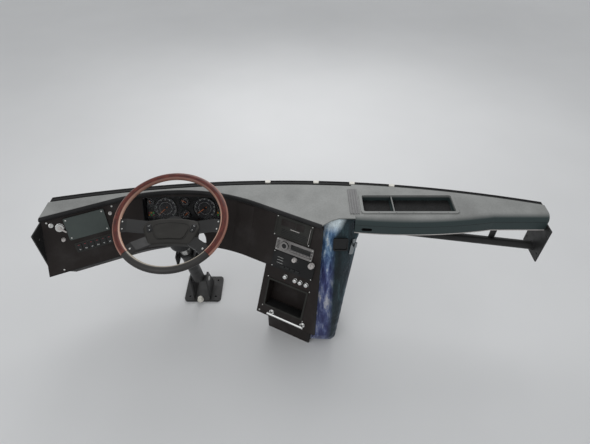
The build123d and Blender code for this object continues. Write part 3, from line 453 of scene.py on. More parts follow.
class Build:
    """Gathers small solids in one mesh and turns them into a piece."""

    def __init__(self):
        self.bm = bmesh.new()

    def ring(self, place, outline, height=0):
        """Points of an outline at a height."""
        return [self.bm.verts.new(place @ Vector((x, y, height))) for x, y in outline]

    def wall(self, low, high):
        """Faces between two rings of as many points."""
        for k in range(len(low)):
            after = (k + 1) % len(low)
            self.bm.faces.new((low[k], low[after], high[after], high[k]))

    def soften(self, edges, offset, segments):
        bmesh.ops.bevel(self.bm, geom=edges, offset=offset, segments=segments, affect="EDGES", profile=0.5)

    def block(self, place, size, bevel=0, segments=2):
        """Box with rounded edges; its base lies on the frame's plane."""
        scale = Matrix.Diagonal((*size, 1))
        made = bmesh.ops.create_cube(self.bm, size=1, matrix=at(place, 0, 0, size[2] / 2) @ scale)
        if bevel:
            edges = list({edge for vert in made["verts"] for edge in vert.link_edges})
            self.soften(edges, bevel, segments)

    def row(self, place, count, step, size, bevel=0, segments=2):
        """Blocks of one size, each an (x, y) step on from the one before."""
        for k in range(count):
            self.block(at(place, step[0] * k, step[1] * k), size, bevel, segments)

    def lathe(self, place, profile, sides=32):
        """Turned solid from (radius, height) points."""
        rows = []
        for radius, height in profile:
            circle = [(radius * math.cos(a), radius * math.sin(a)) for a in turns(sides)]
            rows.append(self.ring(place, circle if radius else [(0, 0)], height))
        for low, high in zip(rows, rows[1:]):
            for k in range(sides):
                below = [low[n % len(low)] for n in (k, k + 1)]
                above = [high[n % len(high)] for n in (k + 1, k)]
                corners = list(dict.fromkeys(below + above))
                if len(corners) > 2:
                    self.bm.faces.new(corners)

    def disc(self, place, radius, height, chamfer, sides=28):
        """Round boss with a softened top edge."""
        top = [(radius, height - chamfer), (radius - chamfer, height), (0, height)]
        self.lathe(place, [(0, 0), (radius, 0)] + top, sides)

    def skirt(self, place, radius, foot, shoulder, low, high, sides=36):
        """Ring round a knob or a lock, which stands out by foot and, at the height low, by shoulder."""
        profile = [(radius, 0), (radius + foot, 0.0002), (radius + shoulder, low), (radius, high)]
        self.lathe(place, profile, sides)

    def hoop(self, place, radius, thick, sides, around):
        """Round ring of round section, lying in the frame's plane."""
        section = turns(around) + [2 * math.pi]
        self.lathe(place, [(radius + thick * math.cos(a), thick * math.sin(a)) for a in section], sides)

    def tube(self, points, radius, sides=8):
        """Round bar through points."""
        rings, side = [], None
        for k, point in enumerate(points):
            ahead = points[min(k + 1, len(points) - 1)] - points[max(k - 1, 0)]
            ahead.normalize()
            if side is None:
                side = ahead.orthogonal().normalized()
            side = (side - ahead * side.dot(ahead)).normalized()
            other = ahead.cross(side)
            circle = [point + radius * (math.cos(a) * side + math.sin(a) * other) for a in turns(sides)]
            rings.append([self.bm.verts.new(corner) for corner in circle])
        for first, second in zip(rings, rings[1:]):
            self.wall(first, second)
        self.bm.faces.new(rings[0][::-1])
        self.bm.faces.new(rings[-1])

    def loft(self, place, rings):
        """Skin through outlines at their heights, closed from the last ring to the first."""
        rows = [self.ring(place, outline, height) for outline, height in rings]
        for low, high in zip(rows, rows[1:] + rows[:1]):
            self.wall(low, high)

    def slab(self, place, outline, thick, bevel=0):
        """Plate with a drawn outline, softened round its top edge."""
        low, high = self.ring(place, outline), self.ring(place, outline, thick)
        self.bm.faces.new(low[::-1])
        top = self.bm.faces.new(high)
        self.wall(low, high)
        if bevel:
            self.soften(list(top.edges), bevel, 3)

    def screw(self, place, radius, height=0.0016):
        """Domed screw head with a recess."""
        dome = [(0, 0), (1, 0), (0.92, 0.6), (0.6, 1), (0.38, 1), (0.3, 0.45), (0, 0.45)]
        self.lathe(place, [(radius * r, height * h) for r, h in dome], 20)

    def piece(self, name, slot, material=None, body="dash"):
        bmesh.ops.recalc_face_normals(self.bm, faces=self.bm.faces)
        mesh = bpy.data.meshes.new(name)
        self.bm.to_mesh(mesh)
        self.bm.free()
        mesh.shade_smooth()
        mesh.set_sharp_from_angle(angle=math.radians(35))
        mesh.materials.append(MATERIALS[material or slot])
        obj = added(name, mesh)
        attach(obj, body)


def builds(count):
    """Several empty builds."""
    return [Build() for _ in range(count)]


def console_end_x(z):
    """The console's right side, which leans in towards its foot."""
    return CONSOLE_END_X - (TOP_Z - z) * math.tan(CONSOLE_LEAN)


def console_span(depth, margins):
    """Middle and width of a console fitting between its margins, at a distance down the face."""
    radius = FACE_TOP_R - depth * math.sin(FACE_TILT)
    edge = console_end_x(FACE_TOP_Z - depth * math.cos(FACE_TILT)) - radius * math.sin(RIGHT_YAW)
    start, end = CONSOLE_START + margins[0], edge / math.cos(RIGHT_YAW) - margins[1]
    return (start + end) / 2, end - start


def cockpit_line(radius, z, right_x=None, steps=40):
    """Points along the left wing, the arc and the right wing at one radius and height."""
    right_x = right_x or console_end_x(z) - 0.0005
    arc = [plan_point(radius, LEFT_YAW + (RIGHT_YAW - LEFT_YAW) * k / steps, z) for k in range(steps + 1)]
    left, right = wing_line(LEFT_YAW), wing_line(RIGHT_YAW)
    start = arc[0] + left * (LEFT_END_X - arc[0].x) / left.x
    end = arc[-1] + right * (right_x - arc[-1].x) / right.x
    return [start] + arc + [end]


def rounded(width, height, corner, steps=5):
    """Outline of a rectangle with round corners."""
    outline = []
    for quarter, (sx, sy) in enumerate(((1, 1), (-1, 1), (-1, -1), (1, -1))):
        cx, cy = sx * (width / 2 - corner), sy * (height / 2 - corner)
        for k in range(steps + 1):
            a = math.pi / 2 * (quarter + k / steps)
            outline.append((cx + corner * math.cos(a), cy + corner * math.sin(a)))
    return outline


# Below, S is a place along a wing, D a distance down its slope, OUT a height off it

# Instrument cluster
GAUGES = [
    # across, down, radius, needle angle in degrees
    (-0.096, 0.101, 0.056, 222),
    (0.096, 0.101, 0.056, 215),
    (0, 0.069, 0.026, 150),
    (0, 0.133, 0.026, 40),
    (-0.17, 0.071, 0.02, 120),
    (0.17, 0.071, 0.02, 70),
]
DIAL_TOP = -0.0219
SWEEP_FROM, SWEEP_TO = 225, -45
LAMPS_S, LAMPS_D, LAMPS_OUT = 0.17, 0.124, -0.024


def dress_gauges():
    marks, needles, hubs = builds(3)
    for across, down, radius, needle in GAUGES:
        dial = at(MID_FACE, across, -down, DIAL_TOP)
        face = radius - 0.005
        count = 40 if radius > 0.05 else 16
        for k in range(count + 1):
            long_mark = k % 4 == 0
            reach = face * (0.17 if long_mark else 0.09)
            wide = face * (0.028 if long_mark else 0.014)
            spoke = turned(dial, SWEEP_FROM + (SWEEP_TO - SWEEP_FROM) * k / count)
            marks.block(at(spoke, face - reach / 2, 0), (reach, wide, 0.0003))
        marks.hoop(dial, face * 0.6, 0.0003, 40, 4)
        tail, tip = -face * 0.22, face * 0.84
        pointer = [(tail, -0.0016), (tip, -0.0004), (tip, 0.0004), (tail, 0.0016)]
        needles.slab(at(turned(dial, needle), 0, 0, 0.002), pointer, 0.0008)
        hubs.disc(dial, face * 0.13, 0.0042, 0.0008)
    marks.piece("dial_marks", "dial_face", "white_print")
    needles.piece("dial_needles", "dial_face", "orange_print")
    hubs.piece("needle_hubs", "black_gloss")


def dress_warning_lamps():
    """Two groups of six small lamps beside the gauges."""
    kinds = ("red_lens", "amber_lens", "green_lens")
    *lamps, frames = builds(4)
    for side in (-1, 1):
        for column in range(3):
            for row in range(2):
                across = side * LAMPS_S + (column - 1) * 0.0105
                spot = at(MID_FACE, across, -LAMPS_D - row * 0.0115, LAMPS_OUT)
                frames.block(spot, (0.0094, 0.0098, 0.0022), 0.0005)
                lamps[(column + row + (side > 0)) % 3].block(spot, (0.0072, 0.0076, 0.0028), 0.0006)
    for kind, lamp in zip(kinds, lamps):
        lamp.piece("warning_" + kind, "dial_face", kind)
    frames.piece("warning_frames", "black_gloss")


# Left wing of the fascia
ROCKERS = [-0.196 + 0.027 * k for k in range(7)]
ROCKERS_D, ROCKER_OUT = 0.186, 0.0069
ROCKER_BARS = ((0, -0.0085, 0.0075, 0.0011), (0, -0.0112, 0.0048, 0.0011))
ROCKER_POST = (-0.0098, 0.0011, 0.007)
ROCKER_GATE = ((-0.003, *ROCKER_POST), (0.003, *ROCKER_POST), (0, -0.0098, 0.005, 0.001))
PANEL_SCREWS = [(s, d, 0.0089, 0.0036) for s in (-0.213, -0.055) for d in (0.045, 0.131)]
WING_SCREWS = [(s, d, 0.0001, 0.0042) for s in (-0.292, -0.006) for d in (0.036, 0.272)]
MAIN_LOCK, MAIN_LOCK_OUT = at(LEFT_FACE, -0.246, -0.07), 0.0158
SMALL_LOCK, SMALL_LOCK_OUT = at(LEFT_FACE, -0.278, -0.052), 0.0098
LEFT_KNOBS = ((-0.249, 0.13, 0.008), (-0.022, 0.066, 0.007))
LEFT_KNOB_OUT = 0.0119


def dress_rockers():
    bezel, marks, lenses, dents = builds(4)
    middle = sum(ROCKERS) / len(ROCKERS)
    bezel.slab(at(LEFT_FACE, middle, -ROCKERS_D), rounded(0.198, 0.048, 0.005), 0.0024, 0.001)
    bezel.piece("rocker_bezel", "black_gloss", "panel_grey")
    for n, s in enumerate(ROCKERS):
        cap = at(LEFT_FACE, s, -ROCKERS_D, ROCKER_OUT)
        dents.block(at(cap, 0, 0.0005), (0.0185, 0.0012, 0.0005), 0.0002)
        lenses.block(at(cap, 0, 0.0125), (0.0075, 0.003, 0.0009), 0.0006)
        for x, y, wide, high in ROCKER_GATE if n % 2 else ROCKER_BARS:
            marks.block(at(cap, x, y), (wide, high, 0.0002))
    marks.piece("rocker_marks", "black_gloss", "white_print")
    lenses.piece("rocker_lenses", "black_gloss", "red_lens")
    dents.piece("rocker_ridges", "black_gloss")


def dress_left_wing():
    dress_rockers()
    screws, rings, slots, lever, knobs, lines = builds(6)
    for s, d, out, radius in PANEL_SCREWS + WING_SCREWS:
        screws.screw(at(LEFT_FACE, s, -d, out), radius)
    screws.piece("left_screws", "steel")
    rings.skirt(MAIN_LOCK, 0.0172, 0.002, 0.0014, 0.0034, 0.004, 40)
    rings.skirt(SMALL_LOCK, 0.0082, 0.0026, 0.0018, 0.0024, 0.0028, 32)
    rings.piece("lock_rings", "chrome")
    slots.block(at(MAIN_LOCK, 0, 0, MAIN_LOCK_OUT), (0.0022, 0.013, 0.0008))
    slots.block(at(SMALL_LOCK, 0, 0, SMALL_LOCK_OUT), (0.0012, 0.0085, 0.0006))
    slots.piece("lock_slots", "black_gloss")
    handle = at(turned(MAIN_LOCK, -50), 0.016, 0, MAIN_LOCK_OUT + 0.0002)
    lever.block(handle, (0.038, 0.0072, 0.0052), 0.0018, 3)
    lever.disc(at(MAIN_LOCK, 0, 0, MAIN_LOCK_OUT), 0.0074, 0.0068, 0.001)
    lever.piece("lock_lever", "light_grey")
    for s, d, radius in LEFT_KNOBS:
        spot = at(LEFT_FACE, s, -d)
        knobs.skirt(spot, radius, 0.0016, 0.0012, 0.0022, 0.0026)
        knobs.lathe(at(spot, 0, 0, LEFT_KNOB_OUT), [(radius * 0.96, 0), (radius * 0.8, 0.0014), (0, 0.0017)])
        lines.block(at(spot, 0, radius * 0.55, LEFT_KNOB_OUT + 0.0013), (0.0012, radius * 0.7, 0.0006))
    knobs.piece("left_knob_skirts", "light_grey")
    lines.piece("left_knob_lines", "black_gloss")


# Console face
FACE_OUT, PANEL_OUT, RADIO_OUT, SUNK = 0.0001, 0.005, 0.008, 0.0001
UPPER_D, UPPER_H = 0.076, 0.1
RADIO_D, RADIO_H = 0.162, 0.06
HEATER_D, HEATER_H = 0.24, 0.086
KNOB_ROW_D, KNOB_ROW_OUT = 0.312, 0.0139
BIN_D, BIN_H = 0.424, 0.148
RAIL_D = 0.522
UPPER_S, UPPER_W = console_span(UPPER_D, (0.01, 0.042))
RADIO_S, RADIO_W = console_span(RADIO_D, (0.034, 0.03))
HEATER_S, HEATER_W = console_span(HEATER_D, (0.028, 0.02))
BIN_S, BIN_W = console_span(BIN_D, (0.032, 0.054))
RAIL_S, RAIL_W = console_span(RAIL_D, (0.07, 0.046))
FACE_SCREWS_S, FACE_SCREWS_D = (0.118, 0.35), 0.538
HEATER_KNOBS = ((0.005, 0.029, 0.01, 0.014), (0.092, 0.033, 0.013, 0.018))
KNOB_ROW = (-0.023, 0.029, 0.056, 0.087)
SEAMS_D = (0.129, 0.1945, 0.285, 0.332)


def dress_radio():
    radio = at(RIGHT_FACE, RADIO_S, -RADIO_D)
    pocket = at(radio, 0.032, 0, 0.0051)
    plate, glow, notches, keys, buttons, fins = builds(6)
    plate.block(at(pocket, 0, 0.005), (0.0995, 0.0245, 0.0014), 0.0006)
    plate.piece("radio_window", "black_gloss")
    glow.block(at(pocket, 0.004, 0.0058, 0.0013), (0.084, 0.011, 0.0004), 0.0002)
    glow.piece("radio_display", "panel_grey")
    notches.row(at(pocket, -0.033, 0.0058, 0.0016), 9, (0.0092, 0), (0.005, 0.0055, 0.0003))
    notches.piece("radio_notches", "black_gloss")
    keys.row(at(pocket, -0.0425, -0.0133), 6, (0.017, 0), (0.015, 0.0078, 0.0034), 0.0012, 3)
    keys.piece("radio_keys", "light_grey", "radio_grey")
    dress_radio_knob(at(radio, -0.046, 0.006, RADIO_OUT))
    for k in range(3):
        buttons.disc(at(radio, 0.0875, 0.015 - 0.015 * k, RADIO_OUT - SUNK), 0.003, 0.002, 0.0006, 20)
    buttons.piece("radio_buttons", "black_gloss")
    fins.row(at(radio, -0.0825, 0.0175, RADIO_OUT - SUNK), 6, (0, -0.007), (0.014, 0.0028, 0.0014), 0.0006, 1)
    fins.piece("radio_fins", "black_gloss", "panel_grey")


def dress_radio_knob(knob):
    rings, ribs = builds(2)
    crown = at(knob, 0, 0, 0.016)
    foot = [(0.0201, 0), (0.0238, 0.0002), (0.0232, 0.0058), (0.0214, 0.0084), (0.0201, 0.0084)]
    dish = [(0.0112, -0.0002), (0.0118, 0.0012), (0.015, 0.0026), (0.0184, 0.0018), (0.0196, -0.0002)]
    rings.lathe(knob, foot, 48)
    rings.lathe(crown, dish, 48)
    rings.piece("radio_knob_rings", "light_grey", "radio_grey")
    for k in range(30):
        ribs.block(at(turned(knob, 12 * k), 0.02, 0, 0.0086), (0.001, 0.0019, 0.0068), 0.0003, 1)
    ribs.block(at(crown, 0, 0.006), (0.0014, 0.006, 0.0006))
    ribs.piece("radio_knob_ribs", "black_gloss")


def dress_panel_screws():
    """Screw heads in the corners of the console's fittings and at its foot."""
    screws = Build()
    for s, d, wide, high, out in (
        (UPPER_S, UPPER_D, UPPER_W - 0.012, UPPER_H - 0.01, PANEL_OUT - SUNK),
        (RADIO_S, RADIO_D, RADIO_W - 0.01, RADIO_H - 0.01, RADIO_OUT - SUNK),
        (HEATER_S, HEATER_D, HEATER_W - 0.012, HEATER_H - 0.01, PANEL_OUT - SUNK),
        (BIN_S, BIN_D, BIN_W + 0.014, BIN_H + 0.014, FACE_OUT),
    ):
        for x in (-0.5, 0.5):
            for y in (-0.5, 0.5):
                screws.screw(at(RIGHT_FACE, s + x * wide, -d + y * high, out), 0.003)
    for s in FACE_SCREWS_S:
        screws.screw(at(RIGHT_FACE, s, -FACE_SCREWS_D, FACE_OUT), 0.0045)
    screws.piece("console_screws", "steel")


def dress_upper_panel():
    upper = at(RIGHT_FACE, UPPER_S, -UPPER_D, 0.0036)
    plates, strip, highlight_fin, louvres = builds(4)
    for x, wide in ((-0.03, 0.07), (0.03, 0.04)):
        plates.slab(at(upper, x, 0.022), rounded(wide, 0.03, 0.003), 0.001, 0.0004)
    plates.piece("upper_plates", "black_gloss", "dark_fascia")
    strip.block(at(upper, 0.008, -0.001), (0.046, 0.003, 0.0007), 0.0003)
    strip.piece("upper_strip", "light_grey")
    # Painted highlight: a thin pale fin along the upper panel's right edge.
    highlight_fin.block(at(upper, 0.0815, -0.004), (0.0016, 0.076, 0.0012), 0.0005)
    highlight_fin.piece("upper_fin_highlight", "light_grey")
    louvres.row(at(upper, 0.006, -0.0115), 4, (0, -0.0076), (0.126, 0.0032, 0.001), 0.0004)
    louvres.piece("upper_louvres", "panel_grey", "black_gloss")


def dress_heater():
    dots, lines, caps, keys = builds(4)
    for off, up, radius, height in HEATER_KNOBS:
        knob = at(RIGHT_FACE, HEATER_S + off, up - HEATER_D, PANEL_OUT)
        for k in range(9):
            turn = math.radians(220 - 32.5 * k)
            x, y = (radius + 0.003) * math.cos(turn), (radius + 0.003) * math.sin(turn)
            if abs(x + off) < HEATER_W / 2 - 0.002 and y + up < HEATER_H / 2 - 0.002:
                dots.disc(at(knob, x, y), 0.0007, 0.0004, 0.0001, 10)
        caps.skirt(knob, radius, 0.001, 0.0006, 0.0045, 0.005)
        lines.block(at(knob, 0, radius * 0.5, height), (0.0016, radius * 0.9, 0.0006))
    dots.row(at(RIGHT_FACE, HEATER_S - 0.066, -0.226, PANEL_OUT), 3, (0, -0.014), (0.03, 0.0011, 0.0004))
    dots.piece("heater_marks", "light_grey", "white_print")
    lines.piece("heater_knob_lines", "black_gloss")
    caps.piece("heater_skirts", "light_grey")
    keys_place = at(RIGHT_FACE, HEATER_S - 0.048, -0.267, PANEL_OUT)
    keys.row(keys_place, 4, (0.026, 0), (0.021, 0.012, 0.0042), 0.0016, 3)
    keys.piece("heater_keys", "black_gloss")


def dress_knob_row():
    skirts, eyes, seams = builds(3)
    for off in KNOB_ROW:
        spot = at(RIGHT_FACE, HEATER_S + off, -KNOB_ROW_D)
        skirts.skirt(spot, 0.009, 0.0014, 0.001, 0.003, 0.0034)
        crown = at(spot, 0, 0, KNOB_ROW_OUT)
        skirts.lathe(crown, [(0.0088, 0), (0.0072, 0.0012), (0.0052, 0.0014), (0.0048, 0.0008), (0, 0.0008)])
        eyes.disc(at(spot, 0, -0.0175), 0.0018, 0.0014, 0.0004, 16)
    skirts.piece("knob_row_skirts", "chrome")
    eyes.piece("knob_row_lamps", "black_gloss", "red_lens")
    for d in SEAMS_D:
        middle, wide = console_span(d, (0.008, 0.01))
        seams.block(at(RIGHT_FACE, middle, -d, -0.0002), (wide, 0.0012, 0.0005))
    seams.piece("console_seams", "dark_fascia", "rubber")


def dress_bin():
    collar, mat = builds(2)
    place = at(RIGHT_FACE, BIN_S, -BIN_D)
    outer = rounded(BIN_W + 0.006, BIN_H + 0.006, 0.006)
    inner = rounded(BIN_W - 0.01, BIN_H - 0.01, 0.005)
    collar.loft(place, [(outer, 0), (outer, 0.003), (inner, 0.0042), (inner, 0)])
    collar.piece("bin_frame", "dark_fascia", "panel_grey")
    floor_y, deep, ribs = 0.0032 - BIN_H / 2, 0.064, 22
    mat.block(at(place, 0, floor_y + 0.001, -0.068), (BIN_W - 0.014, 0.002, deep), 0.0004)
    first = at(place, 0.012 - BIN_W / 2, floor_y + 0.0026, -0.067)
    mat.row(first, ribs, ((BIN_W - 0.024) / (ribs - 1), 0), (0.0034, 0.0016, deep - 0.002), 0.0005, 1)
    mat.piece("bin_mat", "rubber")


def dress_rail():
    collars = Build()
    for side in (-1, 1):
        foot = at(RIGHT_FACE, RAIL_S + side * (RAIL_W / 2 - 0.012), -RAIL_D)
        flange = [(0.0132, 0), (0.0124, 0.0016), (0.0085, 0.0026), (0.007, 0.0026)]
        collars.lathe(at(foot, 0, 0, 0.0039), flange)
        for turn in (45, 225):
            collars.screw(at(turned(foot, turn), 0.0102, 0, 0.0042), 0.0022, 0.0012)
        end = at(RIGHT_FACE, RAIL_S + side * RAIL_W / 2, -RAIL_D, 0.026)
        cap = [(0.006, -0.004), (0.007, -0.002), (0.007, 0.001), (0, 0.0026)]
        collars.lathe(turned(end, side * 90, "Y"), cap, 28)
    collars.piece("rail_collars", "chrome")


# Fascia, hood and top
SIDE_COVER_YAW = math.radians(23.1)
HOOD_EDGE_R, HOOD_EDGE_Z = 0.7935, 0.7486
LOWER_EDGE_D, LOWER_EDGE_Z, LOWER_EDGE_END_X = 0.285, 0.5112, 0.452


def dress_fascia():
    cover, line, bead = builds(3)
    facet = at(face_frame(SIDE_COVER_YAW), 0, -0.158, -0.0014)
    cover.slab(facet, rounded(0.092, 0.252, 0.006), 0.0034, 0.0012)
    cover.piece("fascia_side_cover", "dark_fascia")
    line.tube(cockpit_line(HOOD_EDGE_R, HOOD_EDGE_Z), 0.0016)
    line.piece("hood_edge_line", "light_grey", "panel_grey")
    radius = FACE_TOP_R - LOWER_EDGE_D * math.sin(FACE_TILT) + 0.001
    lower = cockpit_line(radius, LOWER_EDGE_Z, LOWER_EDGE_END_X, 90)
    bead.tube([point for point in lower if point.x < -ARCH_HALF], 0.0022)
    bead.tube([point for point in lower if point.x > ARCH_HALF], 0.0022)
    bead.piece("fascia_lower_bead", "rubber")


# Strip along the top's front edge and its clips
LIP_Z, CLIP_TOP_Z = 0.7645, 0.7718
CLIPS_X = (0.407, 0.643, 0.818, 1.009)


def screen_point(ahead, x, z):
    """Point on the curve of the top's front edge, moved ahead by a distance."""
    return Vector((x, SCREEN_Y + math.sqrt((SCREEN_R + ahead) ** 2 - (x - SCREEN_X) ** 2), z))


def screen_line(ahead, steps=60):
    """Points along that edge at the lips' height."""
    first, last = LEFT_END_X + 0.003, RIGHT_END_X - 0.003
    return [screen_point(ahead, first + (last - first) * k / steps, LIP_Z) for k in range(steps + 1)]


def dress_screen():
    lips, screws = builds(2)
    lips.tube(screen_line(0.004), 0.0024)
    lips.tube(screen_line(0.024), 0.003)
    lips.piece("screen_lips", "rubber")
    for x in CLIPS_X:
        for side in (-0.008, 0.008):
            screws.screw(at(WORLD, *screen_point(0.014, x + side, CLIP_TOP_Z)), 0.0026, 0.0012)
    screws.piece("clip_screws", "steel")


# Co-driver's shelf
SHELF_FRONT_X = (0.811, 1.44)
SHELF_FRONT_Y = (-0.206, -0.222, -0.19)
SHELF_END_X = 1.687
GRIP_PLACE = (0.867, -0.2085, 0.712)
GRIP_RINGS = ((1.12, 0.0012), (1, 0.0024), (0.94, -0.004), (0.9, -0.016), (0, -0.018))
TRAY_Y, TRAY_Z = -0.101, 0.741
TRAY_BAYS = ((0.856, 0.987), (0.997, 1.27))
SHELF_SCREWS_X = (0.842, 0.92, 0.998, 1.076, 1.154, 1.232, 1.283)
SHELF_SCREWS_Y, SHELF_SCREWS_Z = -0.1655, 0.7758


def shelf_front(inset, z, steps=48):
    """Points along the shelf's rear lip: a bulge through three points, then straight on."""
    first_x, last_x = SHELF_FRONT_X
    first, middle, last = SHELF_FRONT_Y
    line = []
    for k in range(steps + 1):
        t = k / steps
        y = first * (1 - t) * (1 - 2 * t) + middle * 4 * t * (1 - t) + last * t * (2 * t - 1)
        line.append(Vector((first_x + (last_x - first_x) * t, y + inset, z)))
    return line + [Vector((SHELF_END_X, last + inset, z))]


def dress_shelf():
    trim, seam, cup, mats, screws = builds(5)
    trim.tube(shelf_front(0.0008, 0.6895), 0.0026)
    trim.piece("shelf_edge_trim", "light_grey")
    seam.tube(shelf_front(0.0004, 0.7372), 0.0009, 6)
    seam.piece("shelf_lip_seam", "rubber")
    grip = turned(at(WORLD, *GRIP_PLACE), 90, "X")
    outline = rounded(0.046, 0.018, 0.0088, 7)
    rows = []
    for scale, depth in GRIP_RINGS:
        rows.append(cup.ring(grip, [(x * scale, y * scale) for x, y in outline], depth))
    for low, high in zip(rows, rows[1:]):
        cup.wall(low, high)
    bmesh.ops.remove_doubles(cup.bm, verts=cup.bm.verts, dist=0.00001)
    cup.piece("grip_cup", "black_soft")
    for start, end in TRAY_BAYS:
        wide = end - start
        middle = at(WORLD, (start + end) / 2, TRAY_Y, TRAY_Z)
        mats.slab(middle, rounded(wide - 0.004, 0.122, 0.006), 0.0022, 0.0006)
        count = int(wide / 0.0075)
        first = at(WORLD, start + 0.008, TRAY_Y, TRAY_Z + 0.002)
        mats.row(first, count, ((wide - 0.016) / (count - 1), 0), (0.0032, 0.112, 0.0014), 0.0005, 1)
    mats.piece("tray_mats", "rubber")
    for x in SHELF_SCREWS_X:
        screws.screw(at(WORLD, x, SHELF_SCREWS_Y, SHELF_SCREWS_Z), 0.0026, 0.0012)
    screws.piece("shelf_screws", "steel", "strip_grey")


# Padded flank of the console: limits to its swelling and the fittings it keeps clear of
CUSHION_CAP = 0.008
CUSHION_INSET = 0.0035
POCKET_AT, POCKET_REACH = Vector((0.75, -0.2385, 0.645)), 0.05
HOOK_AT, HOOK_REACH = Vector((0.807, -0.2255, 0.632)), 0.044
BOARD_THICK, FLANK_TOP_Z = 0.0104, 0.7656
SHELF_SIDE_X, SHELF_UNDER_Z, SHELF_NEAR_Z = 0.8106, 0.6876, 0.67
SWELL_FRAMES = 20


def keep_clear(point):
    """How far the plush may stand off its start at a point: least beside what touches it."""
    fittings = min((point - POCKET_AT).length - POCKET_REACH, (point - HOOK_AT).length - HOOK_REACH)
    board = (point.x - console_end_x(point.z) - BOARD_THICK) * 0.9
    top = (FLANK_TOP_Z - point.z) * 0.7
    floor = point.z * 0.5
    shelf = CUSHION_CAP
    if point.z > SHELF_NEAR_Z:
        beside = point.x < SHELF_SIDE_X
        shelf = (SHELF_SIDE_X - point.x) * 0.9 if beside else 0.4 * (SHELF_UNDER_Z - point.z)
    return max(0, min(CUSHION_CAP, fittings * 0.4 + CUSHION_INSET, board, top, floor, shelf))


def applied(obj):
    """Mesh of an object with its modifiers worked in."""
    bpy.context.view_layer.update()
    depsgraph = bpy.context.evaluated_depsgraph_get()
    return bpy.data.meshes.new_from_object(obj.evaluated_get(depsgraph))


def soft_flank():
    """The flank's cushion: remeshed, swollen by cloth under pressure and held clear of its neighbours."""
    cushion = added("flank_cushion", frame["nodes"]["flank_pad"].data.copy())
    remesh = cushion.modifiers.new("remesh", "REMESH")
    remesh.mode = "VOXEL"
    remesh.voxel_size = 0.008
    cushion.data = applied(cushion)
    cushion.modifiers.clear()
    mesh = cushion.data
    for vert, normal in [(v, v.normal.copy()) for v in mesh.vertices]:
        vert.co -= normal * CUSHION_INSET
    start = [v.co.copy() for v in mesh.vertices]
    cloth = cushion.modifiers.new("cloth", "CLOTH")
    settings = cloth.settings
    settings.quality = 4
    settings.mass = 0.3
    settings.use_pressure = True
    settings.uniform_pressure_force = 4
    settings.effector_weights.gravity = 0
    settings.tension_stiffness = 8
    settings.compression_stiffness = 8
    settings.bending_stiffness = 0.4
    scene = bpy.context.scene
    for step in range(1, SWELL_FRAMES + 1):
        scene.frame_set(step)
    swollen = applied(cushion)
    cushion.modifiers.clear()
    scene.frame_set(1)
    for vert, rest, grown in zip(mesh.vertices, start, swollen.vertices):
        move = grown.co - rest
        cap = keep_clear(rest)
        vert.co = rest + (move * (cap / move.length) if move.length > cap else move)
    smooth = cushion.modifiers.new("smooth", "SUBSURF")
    smooth.levels = smooth.render_levels = 1
    cushion.data = applied(cushion)
    cushion.modifiers.clear()
    cushion.data.materials.clear()
    cushion.data.materials.append(MATERIALS["blue_plush"])
    cushion.data.shade_smooth()
    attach(cushion, "dash")
    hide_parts("flank_pad")


# Steering column
STALKS = ((-1, 14, 0.128), (1, 10, 0.12))
STALK_R = 0.009


def column_frame(distance, turn=0):
    """Frame square to the column, a distance below the wheel's middle."""
    return turned(at(WHEEL_FRAME, 0, 0, -distance), turn)


def dress_stalks():
    boots, rings, marks = builds(3)
    for side, angle, reach in STALKS:
        bar = turned(column_frame(0.092, angle * side), side * 90, "Y")
        folds = []
        for k in range(5):
            radius, height = 0.015 - 0.0017 * k, 0.05 + 0.0052 * k
            folds += [(radius, height), (radius - 0.0022, height + 0.0026)]
        boots.lathe(bar, folds + [(0.006, 0.078)], 28)
        end = 0.05 + reach
        for k in range(5):
            rings.hoop(at(bar, 0, 0, end - 0.014 + 0.0052 * k), STALK_R, 0.0007, 28, 6)
        rings.lathe(at(bar, 0, 0, end + 0.0219), [(0.0089, 0), (0.0072, 0.0016), (0, 0.0022)], 24)
        marks.hoop(at(bar, 0, 0, end - 0.0205), STALK_R, 0.0005, 28, 6)
    boots.piece("stalk_boots", "rubber", body="upper_column")
    rings.piece("stalk_ridges", "black_gloss", body="upper_column")
    marks.piece("stalk_marks", "black_gloss", "white_print", body="upper_column")


def dress_column():
    dress_stalks()
    seam, collar = builds(2)
    seam.hoop(column_frame(0.1345), 0.0537, 0.0008, 56, 6)
    for turn in (-90, 30, 150):
        seam.screw(turned(at(column_frame(0.118, turn), 0.0544, 0), 90, "Y"), 0.0038, 0.0014)
    seam.piece("shroud_seams", "rubber", body="upper_column")
    band = [(0.0322, -0.012), (0.0362, -0.01), (0.0362, 0.008), (0.0322, 0.012)]
    collar.lathe(column_frame(0.318), band, 40)
    collar.piece("jacket_collar", "black_paint", body="column")


def dress_foot_button():
    button = Build()
    post = [(0.018, 0), (0.018, 0.004), (0.014, 0.006), (0.014, 0.02), (0.012, 0.0235), (0, 0.025)]
    button.lathe(at(WORLD, -0.01, -0.086, 0.012), post, 36)
    button.piece("foot_button", "pale_plastic")


# Steering wheel
PAD_MIDDLE = Vector((0, -0.04))
PAD_CORNERS = (
    (-0.11, 0.012), (0, 0.026), (0.11, 0.012), (0.126, -0.024),
    (0.092, -0.106), (0, -0.097), (-0.092, -0.106), (-0.126, -0.024),
)
SPOKE_TOP = 0.0049


def pad_shape(scale, steps=10):
    """Outline of the hub pad, drawn in by a scale about its middle."""
    points = [PAD_MIDDLE + (Vector(corner) - PAD_MIDDLE) * scale for corner in PAD_CORNERS]
    outline = []
    for k, b in enumerate(points):
        a, c = points[k - 1], points[(k + 1) % len(points)]
        first, last = b.lerp(a, 0.36), b.lerp(c, 0.36)
        for n in range(steps + 1):
            t = n / steps
            outline.append((first * (1 - t) ** 2 + b * 2 * t * (1 - t) + last * t * t).to_tuple())
    return outline[::-1]


